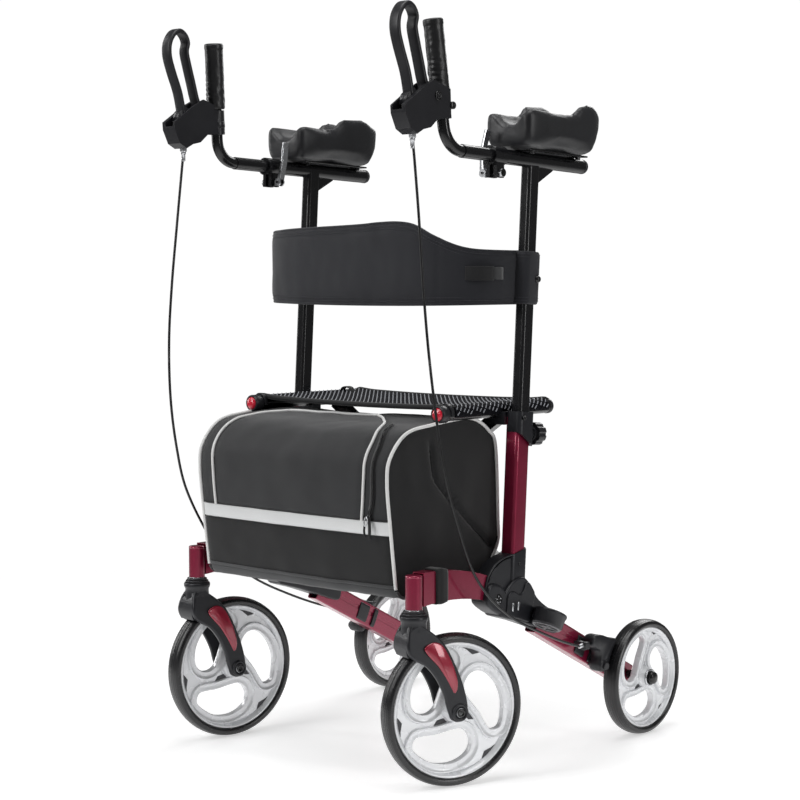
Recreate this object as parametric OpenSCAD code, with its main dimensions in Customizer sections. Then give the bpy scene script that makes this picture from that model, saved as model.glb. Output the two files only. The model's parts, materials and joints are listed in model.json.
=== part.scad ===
// Upright rollator walker: four-wheeled walking frame with forearm rests, an X brace
// under the seat that folds it sideways, loop brake levers, seat, backrest strap and bag.
// Origin: on the floor, under the middle of the frame. +Z up, the front faces -Y,
// and the walker's left side is +X.

/* [Frame] */
// Distance from the middle plane to each height post
post_x = 262; // [256:1:268]
// Lean of the uprights and height posts towards the back, in degrees
post_lean = 3.4; // [2:0.2:5]
// Width of the red upright tube, across the walker
upright_w = 27; // [26:0.5:28]
// Depth of the red upright tube, along the walker
upright_d = 34; // [33:0.5:35]
// Width of the sliding height post
height_post_w = 22; // [20:0.5:22.5]
// Depth of the sliding height post
height_post_d = 28; // [26:0.5:28.5]
// Wall of the frame tubes
wall = 1.8; // [1.2:0.1:1.8]
// Distance from the middle plane to each steering head
head_x = 259.5; // [257:0.5:262]
// Outer diameter of the steering head tube
head_d = 28.5; // [27:0.5:30]

/* [Wheels] */
// Radius of the front wheels
front_r = 127; // [124:1:128]
// Radius of the rear wheels
rear_r = 105; // [101:1:106]
// Width of every tyre
tyre_w = 31; // [28:1:32]
// Distance that the front wheels trail behind their steering heads
trail = 70; // [66:1:72]
// Steering angle of the left front wheel, in degrees
steer_left = 21.3; // [0:0.1:24]
// Steering angle of the right front wheel, in degrees
steer_right = 9.8; // [0:0.1:24]
// Distance from the middle plane to the middle of each rear wheel
rear_wheel_x = 306.7; // [305:0.1:309]

/* [Arms] */
// Outer diameter of the arm tube on top of each post
arm_tube_d = 25.4; // [25.4:0.1:26]
// Bend radius of the handle tube
handle_bend = 44; // [38:1:46]
// Outer diameter of the hand grip
grip_d = 33; // [31:0.5:35]
// Length of the hand grip
grip_len = 115; // [105:1:120]
// Length of a forearm pad
pad_len = 205; // [190:1:210]
// Width of a forearm pad
pad_w = 98; // [92:1:100]

/* [Seat and bag] */
// Distance from the middle plane to each seat rail
rail_x = 222; // [220:0.5:223]
// Height of the seat rails above the floor
rail_z = 607; // [606:0.5:610]
// Outer diameter of the seat rails
rail_d = 25; // [24:0.5:25.5]
// Width of the bag
bag_w = 434; // [420:1:436]
// Height of the bag
bag_h = 288; // [270:1:290]
// Height of the backrest strap in its middle
strap_h = 141; // [125:1:145]

/* [Hidden] */
$fn = 64;
LEFT = 1;
RIGHT = -1;
EPS = 0.01;
GAP = 0.3; // between faces on bodies that move apart
FIT = 0.1; // between pieces that are fixed together
LAP = 0.5; // how far the parts of one welded tube run into each other

// post line: foot point and the height of its foot above the floor
post_y = -55;
post_z = 300;
top_along = 722; // from the foot point to the top of the post
collar_along = [247, 306]; // rear bottom edge and top of the height collar
upright_along = [-12, 296];
post_foot_along = 130; // lower end of the height post, inside the upright

// steering heads and casters
head_y = -311;
head_z = [298, 352];
crown_z = [246, 289];
fork_arm_x = [20, 29]; // inner and outer face of a fork arm
stem_r = 6;
axle_r = 5;
wheel_bore_r = 5.05;

// rear wheels
rear_y = 269;
leg_x = 264;
leg_w = 24;
leg_d = 44;
leg_slope = -27; // degrees below the level, towards the back
leg_len = 310;
leg_start = [-1, 240]; // y and z of the leg's centre line inside the frame joint

// brake
shoe_pivot = [150, 142];
shoe_gap = 3;
lever_pivot = [-322, 1113];
lever_hub_r = 8.5;
lever_pin_r = 3;
lever_x = 268;

// X brace
brace_pivot = [223.5, 300]; // x and z of the lower pivots
brace_y = [-20, 6]; // middle of each brace bar
bar_w = 24;
bar_t = 18;
brace_len = norm([brace_pivot[0] + rail_x, rail_z - brace_pivot[1]]);
brace_angle = atan2(rail_z - brace_pivot[1], brace_pivot[0] + rail_x);
rail_y = [-209, 91];
saddle_y = [-62, -42];

// arm frame: x, y and z where the arm tube crosses the post, then its pitch and toe-out
arm_at = [264.5, -11.5, 1035];
arm_pitch = -2;
arm_toe = 1.2;
arm_back = 149;
arm_front = -113;
arm_wall = 1.15;
handle_d = 20;
sleeve_d = 22.6;
sleeve_y = [-193, 18];
handle_corner = -233;
handle_rise = 82.7; // degrees that the handle tube turns upwards
handle_lean_in = 3.2;
grip_from = 93; // along the rising leg, from the corner
clamp_y = [-119, -84];
skewer_at = [-101, -29]; // y and z of the quick-release skewer
skewer_r = 3;
cam_x = -23; // cross pin at the inner end of the skewer
cam_r = 7;
cam_pin_r = 2.5;
lug_x = [-11, 11]; // outer faces of the clamp's two lugs
plate_t = 3;

// soft parts
seat_t = 4;
seat_rise = 5; // of the seat's underside above the middle of the rails
bag_y = [-329, -42];
bag_top = 590;
bag_t = 2.5;
strap_t = 6;
strap_front = -168;
strap_post_y = post_y + (840 - post_z) * tan(post_lean); // middle of the posts at the strap

// cable routes, from the brake housing to the rear brake
cable_r = 2.4;
cable_sides = 8;
cable_steps = 3; // rings between two route points
route_left = [
    [270, -327, 1056], [272, -324, 1020], [276, -318, 930], [280, -312, 820], [284, -304, 720], [288, -291, 620],
    [292, -276, 530], [296, -252, 450], [300, -215, 360], [303, -170, 305], [305, -110, 262],
    [305, -40, 230], [302, 30, 203], [298, 84, 186], [297, 101, 183]
];
route_right = [
    [270, -327, 1056], [272, -330, 1020], [276, -338, 930], [281, -347, 820], [286, -350, 720], [291, -343, 620],
    [296, -325, 530], [300, -298, 450], [303, -240, 360], [305, -185, 308], [306, -115, 264],
    [305, -40, 230], [302, 30, 203], [298, 84, 186], [297, 101, 183]
];

// ---------- helpers ----------

// draws the children on the walker's left, or mirrored on its right
module on_side(side) {
    if (side == LEFT) children();
    else mirror([1, 0, 0]) children();
}

// places the children in the leaning frame of the upright and post
module on_post() {
    translate([post_x, post_y, post_z]) rotate([-post_lean, 0, 0]) children();
}

// places the children in the frame of the arm tube, which runs along Y
module on_arm() {
    translate(arm_at) rotate([arm_pitch, 0, arm_toe]) children();
}

// places the children in the frame of the rear leg, which runs along Y
module on_leg() {
    translate([leg_x, leg_start[0], leg_start[1]]) rotate([leg_slope, 0, 0]) children();
}

// stands a side outline, drawn as [y, z], upright between two values of x
module side_plate(x_from, x_to) {
    translate([x_from, 0, 0]) rotate([90, 0, 90]) linear_extrude(x_to - x_from) children();
}

module rounded_rect(w, d, r) {
    square([w - 2 * r, d], center = true);
    square([w, d - 2 * r], center = true);
    for (x = [-1, 1], y = [-1, 1])
        translate([x * (w / 2 - r), y * (d / 2 - r)]) circle(r);
}

module box_bar(w, d, r, from, to) {
    translate([0, 0, from]) linear_extrude(to - from) rounded_rect(w, d, r);
}

// a rod along X
module rod_x(r, from, to) {
    translate([from, 0, 0]) rotate([0, 90, 0]) cylinder(r = r, h = to - from);
}

// a rod along Y
module rod_y(r, from, to) {
    translate([0, from, 0]) rotate([-90, 0, 0]) cylinder(r = r, h = to - from);
}

// points of a shallow arc from a to b that bulges by rise to its left
function shallow_arc(a, b, rise, count = 8) =
    let (along = b - a, across = [-along[1], along[0]] / norm(along))
    [for (i = [0:count]) let (t = i / count) a + along * t + across * (4 * rise * t * (1 - t))];

// ---------- frame ----------

module upright(side) {
    color("crimson") on_side(side) on_post() difference() {
        box_bar(upright_w, upright_d, 8, upright_along[0], upright_along[1]);
        box_bar(upright_w - 2 * wall, upright_d - 2 * wall, 6.2, upright_along[0] - 1, upright_along[1] + 1);
    }
}

// side outline of the arched front arm, smaller by inset
module front_arm_outline(inset) {
    polygon(concat(
        shallow_arc([-300, 302 + inset], [-112, 284 + inset], 10),
        shallow_arc([-112, 326 - inset], [-300, 357 - inset], -9)
    ));
}

module front_arm(side) {
    color("crimson") on_side(side) difference() {
        union() {
            side_plate(head_x - 12, head_x + 12) front_arm_outline(0);
            translate([head_x, head_y, head_z[0]]) cylinder(d = head_d, h = head_z[1] - head_z[0]);
        }
        side_plate(head_x - 12 + wall, head_x + 12 - wall) front_arm_outline(wall);
        translate([head_x, head_y, head_z[0] - 1]) cylinder(r = 9, h = 60);
    }
}

module rear_leg(side) {
    groove = 1.2;
    color("crimson") on_side(side) difference() {
        on_leg() rotate([-90, 0, 0]) box_bar(leg_w, leg_d, 4, 0, leg_len);
        on_leg() rotate([-90, 0, 0]) box_bar(leg_w - 2 * wall - groove, leg_d - 2 * wall, 3, -1, leg_len - 34);
        for (x = [-leg_w / 2 - 1, leg_w / 2 - groove])
            on_leg() translate([x, -1, 1]) cube([groove + 1, leg_len + 2, 7]);
        translate([0, rear_y, rear_r]) rod_x(axle_r + EPS, leg_x - 20, leg_x + 20);
    }
}

// side outline of the joint's casing, smaller by inset
module joint_outline(inset) {
    polygon(concat(
        [[-150 + inset, 281 + inset]],
        shallow_arc([-150 + inset, 281 + inset], [-148 + inset, 322], 3, 3),
        shallow_arc([-148 + inset, 322], [-78, 371 - inset], 8, 6),
        [[-43 - inset, 378 - inset], [-42 - inset, 328]],
        shallow_arc([-42 - inset, 328], [30 - inset, 262], 6, 5),
        [[70 - 2 * inset, 232], [58 - inset, 188 + inset], [-40, 222 + inset], [-100, 262 + inset]]
    ));
}

// casing that joins upright, front arm and rear leg, with the clevis of one brace bar
module frame_joint(side) {
    shell = [243, 284];
    casing = 4;
    y = side == LEFT ? brace_y[1] : brace_y[0];
    cheek = [bar_t / 2 + GAP, bar_t / 2 + 5];
    color("dimgray") on_side(side) {
        difference() {
            side_plate(shell[0], shell[1]) joint_outline(0);
            side_plate(shell[0] + casing, shell[1] - casing) joint_outline(casing);
            on_post() box_bar(upright_w + 2 * FIT, upright_d + 2 * FIT, 8, upright_along[0] - FIT, 200);
            side_plate(head_x - 12 - FIT, head_x + 12 + FIT) front_arm_outline(-FIT);
            on_leg() rotate([-90, 0, 0]) box_bar(leg_w + 2 * FIT, leg_d + 2 * FIT, 4, -FIT, leg_len);
        }
        for (turn = [-1, 1]) translate([0, y + turn * (cheek[0] + cheek[1]) / 2, brace_pivot[1]])
            translate([brace_pivot[0] - 10, -(cheek[1] - cheek[0]) / 2, -14])
                cube([shell[0] - brace_pivot[0] + 10 + EPS, cheek[1] - cheek[0], 28]);
        translate([brace_pivot[0], y, brace_pivot[1]]) rod_y(4, -cheek[1], cheek[1]);
    }
}

module height_collar(side) {
    size = [34, 42];
    saddle_z = rail_z - 24;
    color("dimgray") on_side(side) difference() {
        union() {
            on_post() box_bar(size[0], size[1], 10, collar_along[0], collar_along[1]);
            // boss for the knob's screw
            on_post() translate([0, 0, 268]) rod_y(11, 10, size[1] / 2 + 5);
            // hook that the seat rail rests in
            difference() {
                translate([rail_x - 13, saddle_y[0], saddle_z])
                    cube([post_x - size[0] / 2 - rail_x + 15, saddle_y[1] - saddle_y[0], 22]);
                translate([rail_x, 0, rail_z]) rod_y(rail_d / 2 + GAP, saddle_y[0] - 1, saddle_y[1] + 1);
                translate([rail_x - rail_d / 2 - GAP, saddle_y[0] - 1, rail_z])
                    cube([rail_d + 2 * GAP, 22, 30]);
            }
        }
        // the lower edge slopes down towards the back
        on_post() translate([0, 0, 258]) rotate([-32.7, 0, 0]) translate([-40, -50, -60]) cube([80, 100, 60]);
        on_post() box_bar(upright_w + 2 * FIT, upright_d + 2 * FIT, 8, 200, upright_along[1] + FIT);
        on_post() box_bar(height_post_w + 2 * GAP, height_post_d + 2 * GAP, 6 + GAP, 200, 400);
        on_post() translate([0, 0, 268]) rod_y(4.1, 10, 40);
    }
}

// lobed knob on a short screw, standing behind the collar
module height_knob(side) {
    color([0.1, 0.1, 0.11]) on_side(side) on_post() translate([0, 0, 268]) {
        rod_y(4, 18, 28);
        difference() {
            translate([0, 28, 0]) rotate([-90, 0, 0]) union() {
                cylinder(r = 12, h = 4);
                translate([0, 0, 4]) cylinder(r = 20, h = 19);
            }
            for (a = [0:45:315]) rotate([0, a, 0]) translate([23.5, 0, 0]) rod_y(5.5, 31, 52);
        }
    }
}

// ---------- height post and arm ----------

module height_post(side) {
    color([0.1, 0.1, 0.11]) on_side(side) difference() {
        on_post() box_bar(height_post_w, height_post_d, 6, post_foot_along, top_along + 12);
        on_post() box_bar(height_post_w - 2 * wall, height_post_d - 2 * wall, 4.2, post_foot_along - 1, top_along - 6);
        on_arm() rod_y(arm_tube_d / 2, -60, 60);
    }
}

module arm_tube(side) {
    lug_t = 7;
    color([0.1, 0.1, 0.11]) on_side(side) on_arm() difference() {
        union() {
            rod_y(arm_tube_d / 2, arm_front, arm_back);
            // split clamp at the mouth, with two lugs for the skewer
            rod_y(16, clamp_y[0], clamp_y[1]);
            for (x = [lug_x[0], lug_x[1] - lug_t])
                translate([x, clamp_y[0] + 8, skewer_at[1] - 8]) cube([lug_t, 20, 30]);
            // gusset plate behind the post
            side_plate(-1.5, 1.5) polygon([[19, -11], [62, -11], [58, -15], [19, -37]]);
        }
        rod_y(arm_tube_d / 2 - arm_wall, clamp_y[0] - 1, arm_back - 6);
        translate([0, skewer_at[0], skewer_at[1]]) rod_x(skewer_r + FIT, -20, 20);
        // saw cut of the clamp
        translate([-1.2, clamp_y[0] - 1, -20]) cube([2.4, clamp_y[1] - clamp_y[0] + 2, 12]);
    }
    color("silver") on_side(side) on_arm() translate([0, skewer_at[0], skewer_at[1]]) clamp_skewer();
}

// skewer of the arm clamp: nut outside, cam seat and cross pin inside
module clamp_skewer() {
    rod_x(skewer_r, cam_x, lug_x[1] + 9);
    rod_x(6.5, lug_x[1] + FIT, lug_x[1] + 7);
    rod_x(6.5, cam_x + cam_r + GAP, lug_x[0] - FIT);
    translate([cam_x, 0, 0]) {
        rod_y(4, -2.5, 2.5);
        rod_y(cam_pin_r, -7.5, 7.5);
    }
}

module pad_plate(side) {
    color([0.1, 0.1, 0.11]) on_side(side) on_arm() translate([0, 0, arm_tube_d / 2 + FIT]) {
        translate([-30, -42, 0]) cube([60, 165, plate_t]);
        // heads of the bolts that hold the pad
        for (x = [-22, 22], y = [-28, 104]) translate([x, y, -5]) cylinder(r = 5, h = 6, $fn = 6);
    }
}

// trough that holds the forearm, with a raised lobe at each side of the elbow end
module forearm_pad(side) {
    base = arm_tube_d / 2 + plate_t + 2 * FIT;
    wrist = 30 - pad_len / 2;
    elbow = 30 + pad_len / 2;
    trough = [37, 71]; // radius, and height of its centre line above the base
    color([0.13, 0.13, 0.14]) on_side(side) on_arm() translate([0, 0, base]) difference() {
        intersection() {
            translate([0, 30, 0]) linear_extrude(110) rounded_rect(pad_w, pad_len, 22);
            side_plate(-pad_w, pad_w) polygon(concat(
                [[wrist, 0], [wrist, 62], [wrist + 40, 66], [50, 72]],
                shallow_arc([50, 72], [elbow - 4, 80], 9, 6),
                [[elbow, 60], [elbow, 0]]
            ));
        }
        translate([0, 0, trough[1]]) rod_y(trough[0], wrist - 1, elbow + 1);
        translate([-trough[0], wrist - 1, trough[1]]) cube([2 * trough[0], pad_len + 2, 40]);
    }
}

// places the children on the rising leg of the handle: Z runs up it from the corner
module on_handle() {
    on_arm() translate([0, handle_corner, 0]) rotate([0, -handle_lean_in, 0])
        rotate([90 - handle_rise, 0, 0]) children();
}

module handle_tube(side) {
    tangent = handle_bend * tan(handle_rise / 2);
    bore = handle_d - 2 * 1.5;
    color([0.1, 0.1, 0.11]) on_side(side) difference() {
        union() {
            on_arm() rotate([0, -handle_lean_in, 0]) {
                rod_y(handle_d / 2, handle_corner + tangent - LAP, sleeve_y[0] + 2);
                rod_y(sleeve_d / 2, sleeve_y[0], sleeve_y[1]);
                // the bend, a hair thicker than the straight runs that end inside it
                translate([0, handle_corner + tangent, handle_bend]) rotate([0, 90, 180])
                    rotate_extrude(angle = handle_rise) translate([handle_bend, 0]) circle(d = handle_d + FIT);
            }
            on_handle() translate([0, 0, tangent - LAP]) cylinder(d = handle_d, h = grip_from + grip_len - tangent - 5);
        }
        on_arm() rod_y(bore / 2, sleeve_y[0] + 10, sleeve_y[1] + 1);
        on_handle() translate([0, 0, tangent + 5]) cylinder(d = bore, h = 200);
    }
}

module hand_grip(side) {
    color([0.15, 0.15, 0.16]) on_side(side) on_handle() difference() {
        translate([0, 0, grip_from]) union() {
            cylinder(d = grip_d - 2, h = grip_len);
            translate([0, 0, 3]) cylinder(d = grip_d, h = grip_len - 10);
        }
        translate([0, 0, grip_from - 1]) cylinder(d = handle_d + 2 * EPS, h = grip_len - 4 + EPS);
    }
}

// ---------- brakes ----------

module brake_housing(side) {
    width = [254, 286];
    color([0.16, 0.16, 0.18]) on_side(side) difference() {
        union() {
            side_plate(width[0], width[1]) polygon([
                [-362, 1107], [-361, 1094], [-349, 1070], [-333, 1062], [-318, 1070], [-300, 1074],
                [-283, 1088], [-262, 1091], [-250, 1092], [-252, 1138], [-266, 1142], [-292, 1150],
                [-312, 1140], [-330, 1128]
            ]);
            on_handle() translate([0, 0, 48]) cylinder(d = handle_d + 9, h = 43);
        }
        on_handle() cylinder(d = handle_d + 2 * EPS, h = 120);
        on_handle() translate([0, 0, grip_from - FIT]) cylinder(d = grip_d + 2 * FIT, h = grip_len);
        // slot for the lever
        side_plate(lever_x - 10, lever_x + 10) polygon([
            [-380, 1100], [-336, 1099], [-302, 1098], [-299, 1114], [-277, 1150], [-277, 1200], [-380, 1200]
        ]);
        // entry of the cable
        translate([lever_x + 2, -327, 1050]) cylinder(r = cable_r + GAP, h = 9);
    }
    // pin that the lever turns on
    color("silver") on_side(side) translate([0, lever_pivot[0], lever_pivot[1]])
        rod_x(lever_pin_r, lever_x - 10 - EPS, lever_x + 10 + EPS);
}

// closed loop for the fingers, on a hub that turns on the housing's pin
module brake_lever(side) {
    half = 9;
    color([0.16, 0.17, 0.18]) on_side(side) difference() {
        union() {
            side_plate(lever_x - half, lever_x + half) difference() {
                polygon(concat(
                    [[-330, 1112], [-338, 1125]],
                    shallow_arc([-338, 1125], [-370, 1222], -2, 4),
                    shallow_arc([-370, 1222], [-340, 1270], 12, 6),
                    shallow_arc([-340, 1270], [-318, 1246], 7, 5),
                    shallow_arc([-318, 1246], [-312, 1195], -3, 4),
                    [[-299, 1150], [-306, 1128], [-314, 1110]]
                ));
                polygon(concat(
                    shallow_arc([-331, 1137], [-359, 1222], -2, 4),
                    shallow_arc([-359, 1222], [-348, 1254], 4, 4),
                    shallow_arc([-348, 1254], [-330, 1243], 5, 4),
                    [[-323, 1195], [-311, 1152], [-318, 1138]]
                ));
            }
            translate([0, lever_pivot[0], lever_pivot[1]]) rod_x(lever_hub_r, lever_x - half, lever_x + half);
        }
        translate([0, lever_pivot[0], lever_pivot[1]]) rod_x(lever_pin_r + 0.05, lever_x - 20, lever_x + 20);
    }
}

// cam lever of the arm clamp: its forked hub turns on the skewer's cross pin
module quick_release_lever(side) {
    color("silver") on_side(side) on_arm() translate([cam_x, skewer_at[0], skewer_at[1]]) difference() {
        union() {
            rod_y(cam_r, -6, 6);
            hull() {
                translate([-2, 0, 4]) rod_y(4, -5.5, 5.5);
                translate([-7, 4, 38]) rod_y(2.5, -5.5, 5.5);
            }
            hull() {
                translate([-7, 4, 38]) rod_y(2.5, -5.5, 5.5);
                translate([-3, 10, 72]) rod_y(2.2, -6, 6);
            }
        }
        rod_y(cam_pin_r + 0.05, -10, 10);
        rod_y(8, -skewer_r - 2 * GAP, skewer_r + 2 * GAP);
    }
}

function spline_point(p, i, t) =
    let (
        a = p[max(i - 1, 0)], b = p[i], c = p[i + 1], d = p[min(i + 2, len(p) - 1)],
        u = (c - a) / 2, v = (d - b) / 2
    )
    b * (2 * t * t * t - 3 * t * t + 1) + u * (t * t * t - 2 * t * t + t)
        + c * (3 * t * t - 2 * t * t * t) + v * (t * t * t - t * t);

function spline(p, steps) = concat(
    [for (i = [0:len(p) - 2], s = [0:steps - 1]) spline_point(p, i, s / steps)],
    [p[len(p) - 1]]
);

// one closed tube along a list of points
module swept_tube(path, r, sides) {
    n = len(path);
    function heading(i) =
        let (d = path[min(i + 1, n - 1)] - path[max(i - 1, 0)]) d / norm(d);
    function ring(i) =
        let (
            t = heading(i), side = cross(t, [1, 0, 0]), u = side / norm(side), v = cross(t, u)
        )
        [for (k = [0:sides - 1]) path[i] + r * (u * cos(360 * k / sides) + v * sin(360 * k / sides))];
    points = [for (i = [0:n - 1]) each ring(i)];
    walls = [for (i = [0:n - 2], k = [0:sides - 1])
        [i * sides + k, (i + 1) * sides + k, (i + 1) * sides + (k + 1) % sides, i * sides + (k + 1) % sides]];
    ends = [[for (k = [0:sides - 1]) k], [for (k = [sides - 1:-1:0]) (n - 1) * sides + k]];
    polyhedron(points, concat(walls, ends), convexity = 6);
}

module brake_cable(side) {
    color([0.08, 0.08, 0.08]) on_side(side)
        swept_tube(spline(side == LEFT ? route_left : route_right, cable_steps), cable_r, cable_sides);
}

// sleeve around the rear leg, with the pivot pin of the brake shoe and the cable stop
module brake_bracket(side) {
    sleeve = [118, 192];
    color([0.13, 0.13, 0.14]) on_side(side) {
        difference() {
            on_leg() rotate([-90, 0, 0]) box_bar(leg_w + 6, leg_d + 6, 5, sleeve[0], sleeve[1]);
            on_leg() rotate([-90, 0, 0]) box_bar(leg_w + 2 * FIT, leg_d + 2 * FIT, 4, sleeve[0] - 1, sleeve[1] + 1);
            on_leg() translate([5, 137, -10]) cube([20, 18, 20]);
        }
        difference() {
            // the cable stop
            translate([leg_x + leg_w / 2 + 2, 102, 172]) cube([24, 12, 20]);
            translate([297, 0, 183]) rod_y(cable_r + GAP, 90, 108);
            on_leg() rotate([-90, 0, 0]) box_bar(leg_w + 4, leg_d + 4, 5, 0, leg_len);
        }
        translate([0, shoe_pivot[0], shoe_pivot[1]]) rod_x(4, leg_x + leg_w / 2 + 1, 310);
    }
}

// arm that presses a rubber block on the tread of the rear tyre
module brake_shoe(side) {
    reach = [280, 308];
    color([0.17, 0.18, 0.19]) on_side(side) difference() {
        union() {
            side_plate(reach[0], reach[1]) polygon([
                [118, 186], [124, 200], [150, 190], [192, 174], [196, 166], [176, 150], [160, 128], [140, 131]
            ]);
            translate([0, shoe_pivot[0], shoe_pivot[1]]) rod_x(11, reach[0], reach[1]);
        }
        translate([0, shoe_pivot[0], shoe_pivot[1]]) rod_x(4.05, reach[0] - 1, reach[1] + 1);
        translate([0, rear_y, rear_r]) rod_x(rear_r + shoe_gap, reach[0] - 1, reach[1] + 1);
    }
}

// ---------- wheels ----------

// places the children at a steering head, turned to the caster's rest angle:
// +Y points towards the wheel
module on_caster(side) {
    angle = side == LEFT ? -steer_left : -steer_right;
    translate([side * head_x, head_y, 0]) rotate([0, 0, angle]) children();
}

module fork_arm_outline() {
    polygon(concat(
        [[-22, 252], [-34, 240], [-30, 232], [-4, 226]],
        shallow_arc([-4, 226], [55, 133], 9, 6),
        shallow_arc([trail - 16, front_r], [trail + 17, front_r], -16, 8),
        shallow_arc([trail + 19, 142], [44, 253], -13, 8),
        [[21, 268]]
    ));
}

module caster_fork(side) {
    color([0.16, 0.16, 0.18]) on_caster(side) difference() {
        union() {
            translate([0, 0, crown_z[0]]) cylinder(r = 21, h = crown_z[1] - 9 - crown_z[0]);
            translate([0, 0, crown_z[1] - 9]) cylinder(r = 22.5, h = 9);
            side_plate(-fork_arm_x[1], fork_arm_x[1]) fork_arm_outline();
        }
        // room for the tyre
        translate([0, trail, front_r]) rod_x(front_r + 4, -fork_arm_x[0], fork_arm_x[0]);
        side_plate(-fork_arm_x[0], fork_arm_x[0])
            polygon([[trail - 50, 60], [trail - 50, 245], [130, 245], [130, 60]]);
        for (x = [-1, 1]) translate([x * 25, 0, 290]) rotate([0, x * 14, 0])
            translate([x > 0 ? 0 : -30, -40, -60]) cube([30, 130, 70]);
        translate([0, 0, crown_z[0] - 20]) cylinder(r = stem_r, h = 80);
        translate([0, trail, front_r]) rod_x(axle_r, -50, 50);
    }
}

// steering stem and wheel axle of one caster
module caster_pins(side) {
    color("silver") on_caster(side) {
        translate([0, 0, crown_z[0] + 4]) cylinder(r = stem_r, h = 98);
        translate([0, 0, crown_z[1]]) difference() {
            cylinder(r = 8.6, h = 9 + 40);
            translate([0, 0, -1]) cylinder(r = stem_r, h = 60);
        }
        translate([0, trail, front_r]) {
            rod_x(axle_r, -fork_arm_x[1], fork_arm_x[1]);
            rod_x(8, fork_arm_x[1], fork_arm_x[1] + 4);
            rod_x(8, -fork_arm_x[1] - 4, -fork_arm_x[1]);
        }
    }
}

// tyre with a rounded tread, around the X axis
module tyre(r, depth) {
    half = tyre_w / 2;
    rotate([0, 90, 0]) rotate_extrude($fn = 96) intersection() {
        translate([r - depth, -half]) square([depth, tyre_w]);
        translate([r - 32, 0]) circle(r = 32);
        translate([r - depth - 14, 0]) circle(r = depth + 14);
    }
}

// one of three swirled windows between the spokes of a rim of radius r
module rim_window(r) {
    count = 12;
    // from the hub out to the tip along the inner edge, and back along the rim
    inner = [for (i = [0:count]) let (t = i / count, a = 15 - 75 * t)
        r * (0.283 + 0.443 * pow(t, 2.6)) * [cos(a), sin(a)]];
    outer = [for (i = [0:count]) let (t = i / count, a = 88 * t - 55)
        r * (0.837 - 0.372 * pow(t, 5)) * [cos(a), sin(a)]];
    offset(r = 0.06 * r, $fn = 24) offset(delta = -0.06 * r) polygon(concat(inner, outer));
}

// spoked rim around the X axis; hub is its half width at the axle
module rim(r, hub, bore) {
    half = tyre_w / 2 - 5;
    rotate([0, 90, 0]) difference() {
        union() {
            rotate_extrude($fn = 96) translate([r - 10, -half]) square([10, 2 * half]);
            translate([0, 0, -4]) cylinder(r = r - 5, h = 8, $fn = 96);
            translate([0, 0, -hub]) cylinder(r = 17, h = 2 * hub);
        }
        translate([0, 0, -20]) linear_extrude(40) for (a = [0, 120, 240]) rotate(a) rim_window(r);
        translate([0, 0, -hub - 1]) cylinder(r = bore, h = 2 * hub + 2);
    }
}

module front_tyre(side) {
    color([0.1, 0.1, 0.11]) on_caster(side) translate([0, trail, front_r]) tyre(front_r, 14);
}

module front_rim(side) {
    color("gainsboro") on_caster(side) translate([0, trail, front_r]) rim(front_r - 14 - EPS, 18, wheel_bore_r);
}

module rear_tyre(side) {
    color([0.1, 0.1, 0.11]) on_side(side) translate([rear_wheel_x, rear_y, rear_r]) tyre(rear_r, 13);
}

module rear_rim(side) {
    color("gainsboro") on_side(side) translate([rear_wheel_x, rear_y, rear_r]) rim(rear_r - 13 - EPS, 17, wheel_bore_r);
}

module rear_axle(side) {
    color([0.12, 0.12, 0.13]) on_side(side) translate([0, rear_y, rear_r]) {
        rod_x(axle_r, leg_x - 12, rear_wheel_x + 20);
        rod_x(11, rear_wheel_x + 18, 333);
        rod_x(9, leg_x - 18, leg_x - 12);
        difference() {
            rod_x(8, leg_x + leg_w / 2, rear_wheel_x - 17.5);
            rod_x(axle_r - EPS, leg_x, rear_wheel_x);
        }
    }
}

// ---------- brace, rails and seat ----------

// the two bars cross under the seat; the left one ends at the left rail and starts at
// the right frame joint
module cross_brace(side) {
    y = side == LEFT ? brace_y[0] : brace_y[1];
    color([0.12, 0.12, 0.13]) on_side(side) difference() {
        translate([-brace_pivot[0], y, brace_pivot[1]]) rotate([0, -brace_angle, 0]) difference() {
            union() {
                translate([0, -bar_t / 2, -bar_w / 2]) cube([brace_len - rail_d / 2 + 1, bar_t, bar_w]);
                rod_y(bar_w / 2, -bar_t / 2, bar_t / 2);
            }
            // the bar is a tube, open at its lower end
            translate([-bar_w, wall - bar_t / 2, wall - bar_w / 2])
                cube([brace_len - 10, bar_t - 2 * wall, bar_w - 2 * wall]);
        }
        translate([-brace_pivot[0], y, brace_pivot[1]]) rod_y(4.1, -20, 20);
        translate([0, y, brace_pivot[1] + tan(brace_angle) * brace_pivot[0]]) rod_y(5.1, -20, 20);
        translate([rail_x, 0, rail_z]) rod_y(rail_d / 2, rail_y[0], rail_y[1]);
    }
}

module seat_rail(side) {
    color([0.1, 0.1, 0.11]) on_side(side) translate([rail_x, 0, rail_z]) difference() {
        union() {
            rod_y(rail_d / 2, rail_y[0] + 6, rail_y[1]);
            // end cap that holds the reflector
            rod_y(rail_d / 2 + 1.5, rail_y[0], rail_y[0] + 16);
        }
        rod_y(rail_d / 2 - 1.5, rail_y[0] + 20, rail_y[1] - 8);
    }
}

module cross_pivot_bolt() {
    z = brace_pivot[1] + tan(brace_angle) * brace_pivot[0];
    color("silver") translate([0, 0, z]) {
        rod_y(5, brace_y[0] - bar_t / 2 - 6, brace_y[1] + bar_t / 2 + 5);
        rod_y(9, brace_y[0] - bar_t / 2 - 6, brace_y[0] - bar_t / 2 - GAP);
        rod_y(9, brace_y[1] + bar_t / 2 + GAP, brace_y[1] + bar_t / 2 + 6);
    }
}

module seat() {
    half = rail_x - rail_d / 2 - 0.5;
    color([0.15, 0.15, 0.17]) translate([-half, rail_y[0] + 30, rail_z + seat_rise])
        cube([2 * half, 260, seat_t]);
}

// ---------- soft parts and holder ----------

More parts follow.
